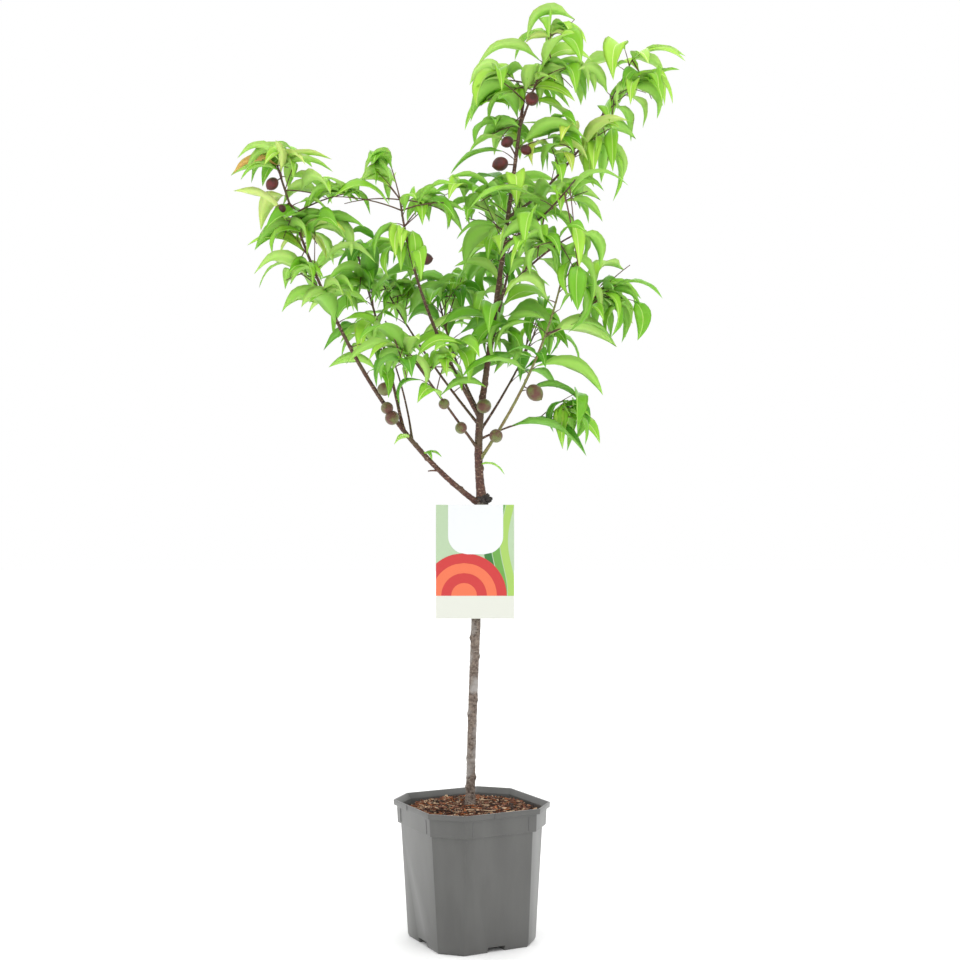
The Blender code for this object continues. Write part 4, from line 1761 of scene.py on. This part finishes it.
# Card
@dataclass
class HangCard:
    """The flat card: a pale panel over a generic pattern of half rings and bands, with no lettering."""

    layer: float = 0.00005
    sunk: float = 0.0001
    edge_round: float = 0.0002
    steps: int = 28
    foot_top: float = 0.2
    panel_foot: float = 0.565
    panel_sides: tuple = (0.155, 0.86)
    panel_corner: tuple = (0.24, 0.16)
    ring_middle: float = 0.36
    ring_radii: tuple = (0.060, 0.046, 0.032, 0.018)
    band_first: float = 0.70
    band_step: float = 0.11
    band_half: float = 0.05
    band_sway: float = 0.05

    def build(self) -> None:
        """Build the card's board and its printed shapes."""
        low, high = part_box("hang_card")
        self.low, self.high = Vector(low), Vector(high)
        deselect()
        bpy.ops.mesh.primitive_cube_add(size=1.0)
        board = bpy.context.object
        board.name = "card_board"
        board.scale = self.high - self.low
        board.location = (self.low + self.high) / 2.0
        settle(board)
        rounding = board.modifiers.new("edges", "BEVEL")
        rounding.width = self.edge_round
        rounding.segments = 2
        apply_modifiers(board)
        board.data.materials.append(PlainFinish("card_board", srgb(176, 198, 164), 0.4, 40.0, 0.0002).make())
        hand_over(board, "card", "hang_card")
        coral, orange = srgb(196, 54, 54), srgb(226, 112, 76)
        greens = (srgb(52, 116, 52), srgb(104, 160, 70), srgb(160, 196, 96))
        foot = self.foot_top
        for number, colour in enumerate(greens):
            span = partial(self.sway, middle=self.band_first + self.band_step * number)
            self.ladder(f"card_band_{number}", foot, 1.0, span, colour, 1 + number)
        for number, (radius, colour) in enumerate(zip(self.ring_radii, (coral, orange, coral, orange))):
            top = foot + radius / (self.high.z - self.low.z)
            self.ladder(f"card_ring_{number}", foot, top, partial(self.disc, radius=radius), colour, 4 + number)
        self.ladder("card_foot", 0.0, foot, lambda up: (0.0, 1.0), srgb(214, 216, 206), 8)
        self.ladder("card_panel", self.panel_foot, 1.0, self.panel, srgb(226, 228, 230), 9)

    def sway(self, up: float, middle: float) -> tuple[float, float]:
        """Left and right of a swaying upright band at that height, as shares of the width."""
        shift = self.band_sway * math.sin(2.2 * math.pi * up)
        return (min(1.0, middle - self.band_half + shift), min(1.0, middle + self.band_half + shift))

    def disc(self, up: float, radius: float) -> tuple[float, float]:
        """Left and right of a half disc that stands on the foot strip.

        Args:
            up: The height, as a share of the card's.
            radius: The disc's radius in metres.

        Returns:
            Both places, as shares of the width.
        """
        wide, high = self.high.x - self.low.x, self.high.z - self.low.z
        reach = math.sqrt(max(0.0, radius**2 - ((up - self.foot_top) * high) ** 2)) / wide
        return (max(0.0, self.ring_middle - reach), min(1.0, self.ring_middle + reach))

    def panel(self, up: float) -> tuple[float, float]:
        """Left and right of a panel with round lower corners.

        Args:
            up: The height, as a share of the card's.

        Returns:
            Both places, as shares of the width.
        """
        left, right = self.panel_sides
        wide, tall = self.panel_corner
        rise = min(1.0, (up - self.panel_foot) / tall)
        inset = wide * (1.0 - math.sqrt(max(0.0, 1.0 - (1.0 - rise) ** 2)))
        return (left + inset, right - inset)

    def ladder(
        self,
        name: str,
        low: float,
        high: float,
        span: Callable[[float], tuple[float, float]],
        colour: tuple,
        layer: int,
    ) -> None:
        """One flat printed shape, just proud of the board, as a closed strip of rungs.

        Args:
            name: Name of the piece.
            low: Its lower end as a share of the card's height.
            high: Its upper end.
            span: Its left and right shares at a height.
            colour: Its colour.
            layer: Its place in the stack of print.
        """
        front = self.low.y - layer * self.layer
        back = self.low.y + self.sunk
        verts: list[tuple[float, float, float]] = []
        for i in range(self.steps + 1):
            up = low + (high - low) * i / self.steps
            left, right = span(up)
            z = self.low.z + up * (self.high.z - self.low.z)
            x0 = self.low.x + left * (self.high.x - self.low.x)
            x1 = max(x0 + self.layer, self.low.x + right * (self.high.x - self.low.x))
            verts += [(x0, front, z), (x1, front, z), (x1, back, z), (x0, back, z)]
        piece = mesh_piece(name, np.array(verts), tube_faces(0, self.steps, 4), smooth=False)
        piece.data.materials.append(PlainFinish(name, colour, 0.35, 60.0, 0.0001).make())
        hand_over(piece, "card")


def main() -> None:
    """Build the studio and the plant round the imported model."""
    logging.basicConfig(level=logging.INFO, format="%(message)s")
    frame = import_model()
    studio = Studio()
    studio.build()
    pot = Pot()
    pot.build()
    Compost(pot).build()
    skeleton = Skeleton(Vector((TRUNK_FOOT_X, 0.0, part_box("trunk")[0][2])))
    Limbs(skeleton).build()
    masses = sorted(name for name in frame["nodes"] if name.endswith("_leaves"))
    crown = Crown(skeleton, studio)
    crown.grow_all(masses)
    YoungFruit(crown).build()
    crown.build()
    HangCard().build()
    strap = PlainFinish("card_strap", srgb(225, 230, 224), 0.35, 300.0, 0.0002).make()
    for slot in bpy.data.objects["card_strap"].material_slots:
        slot.material = strap


if __name__ == "__main__":
    main()
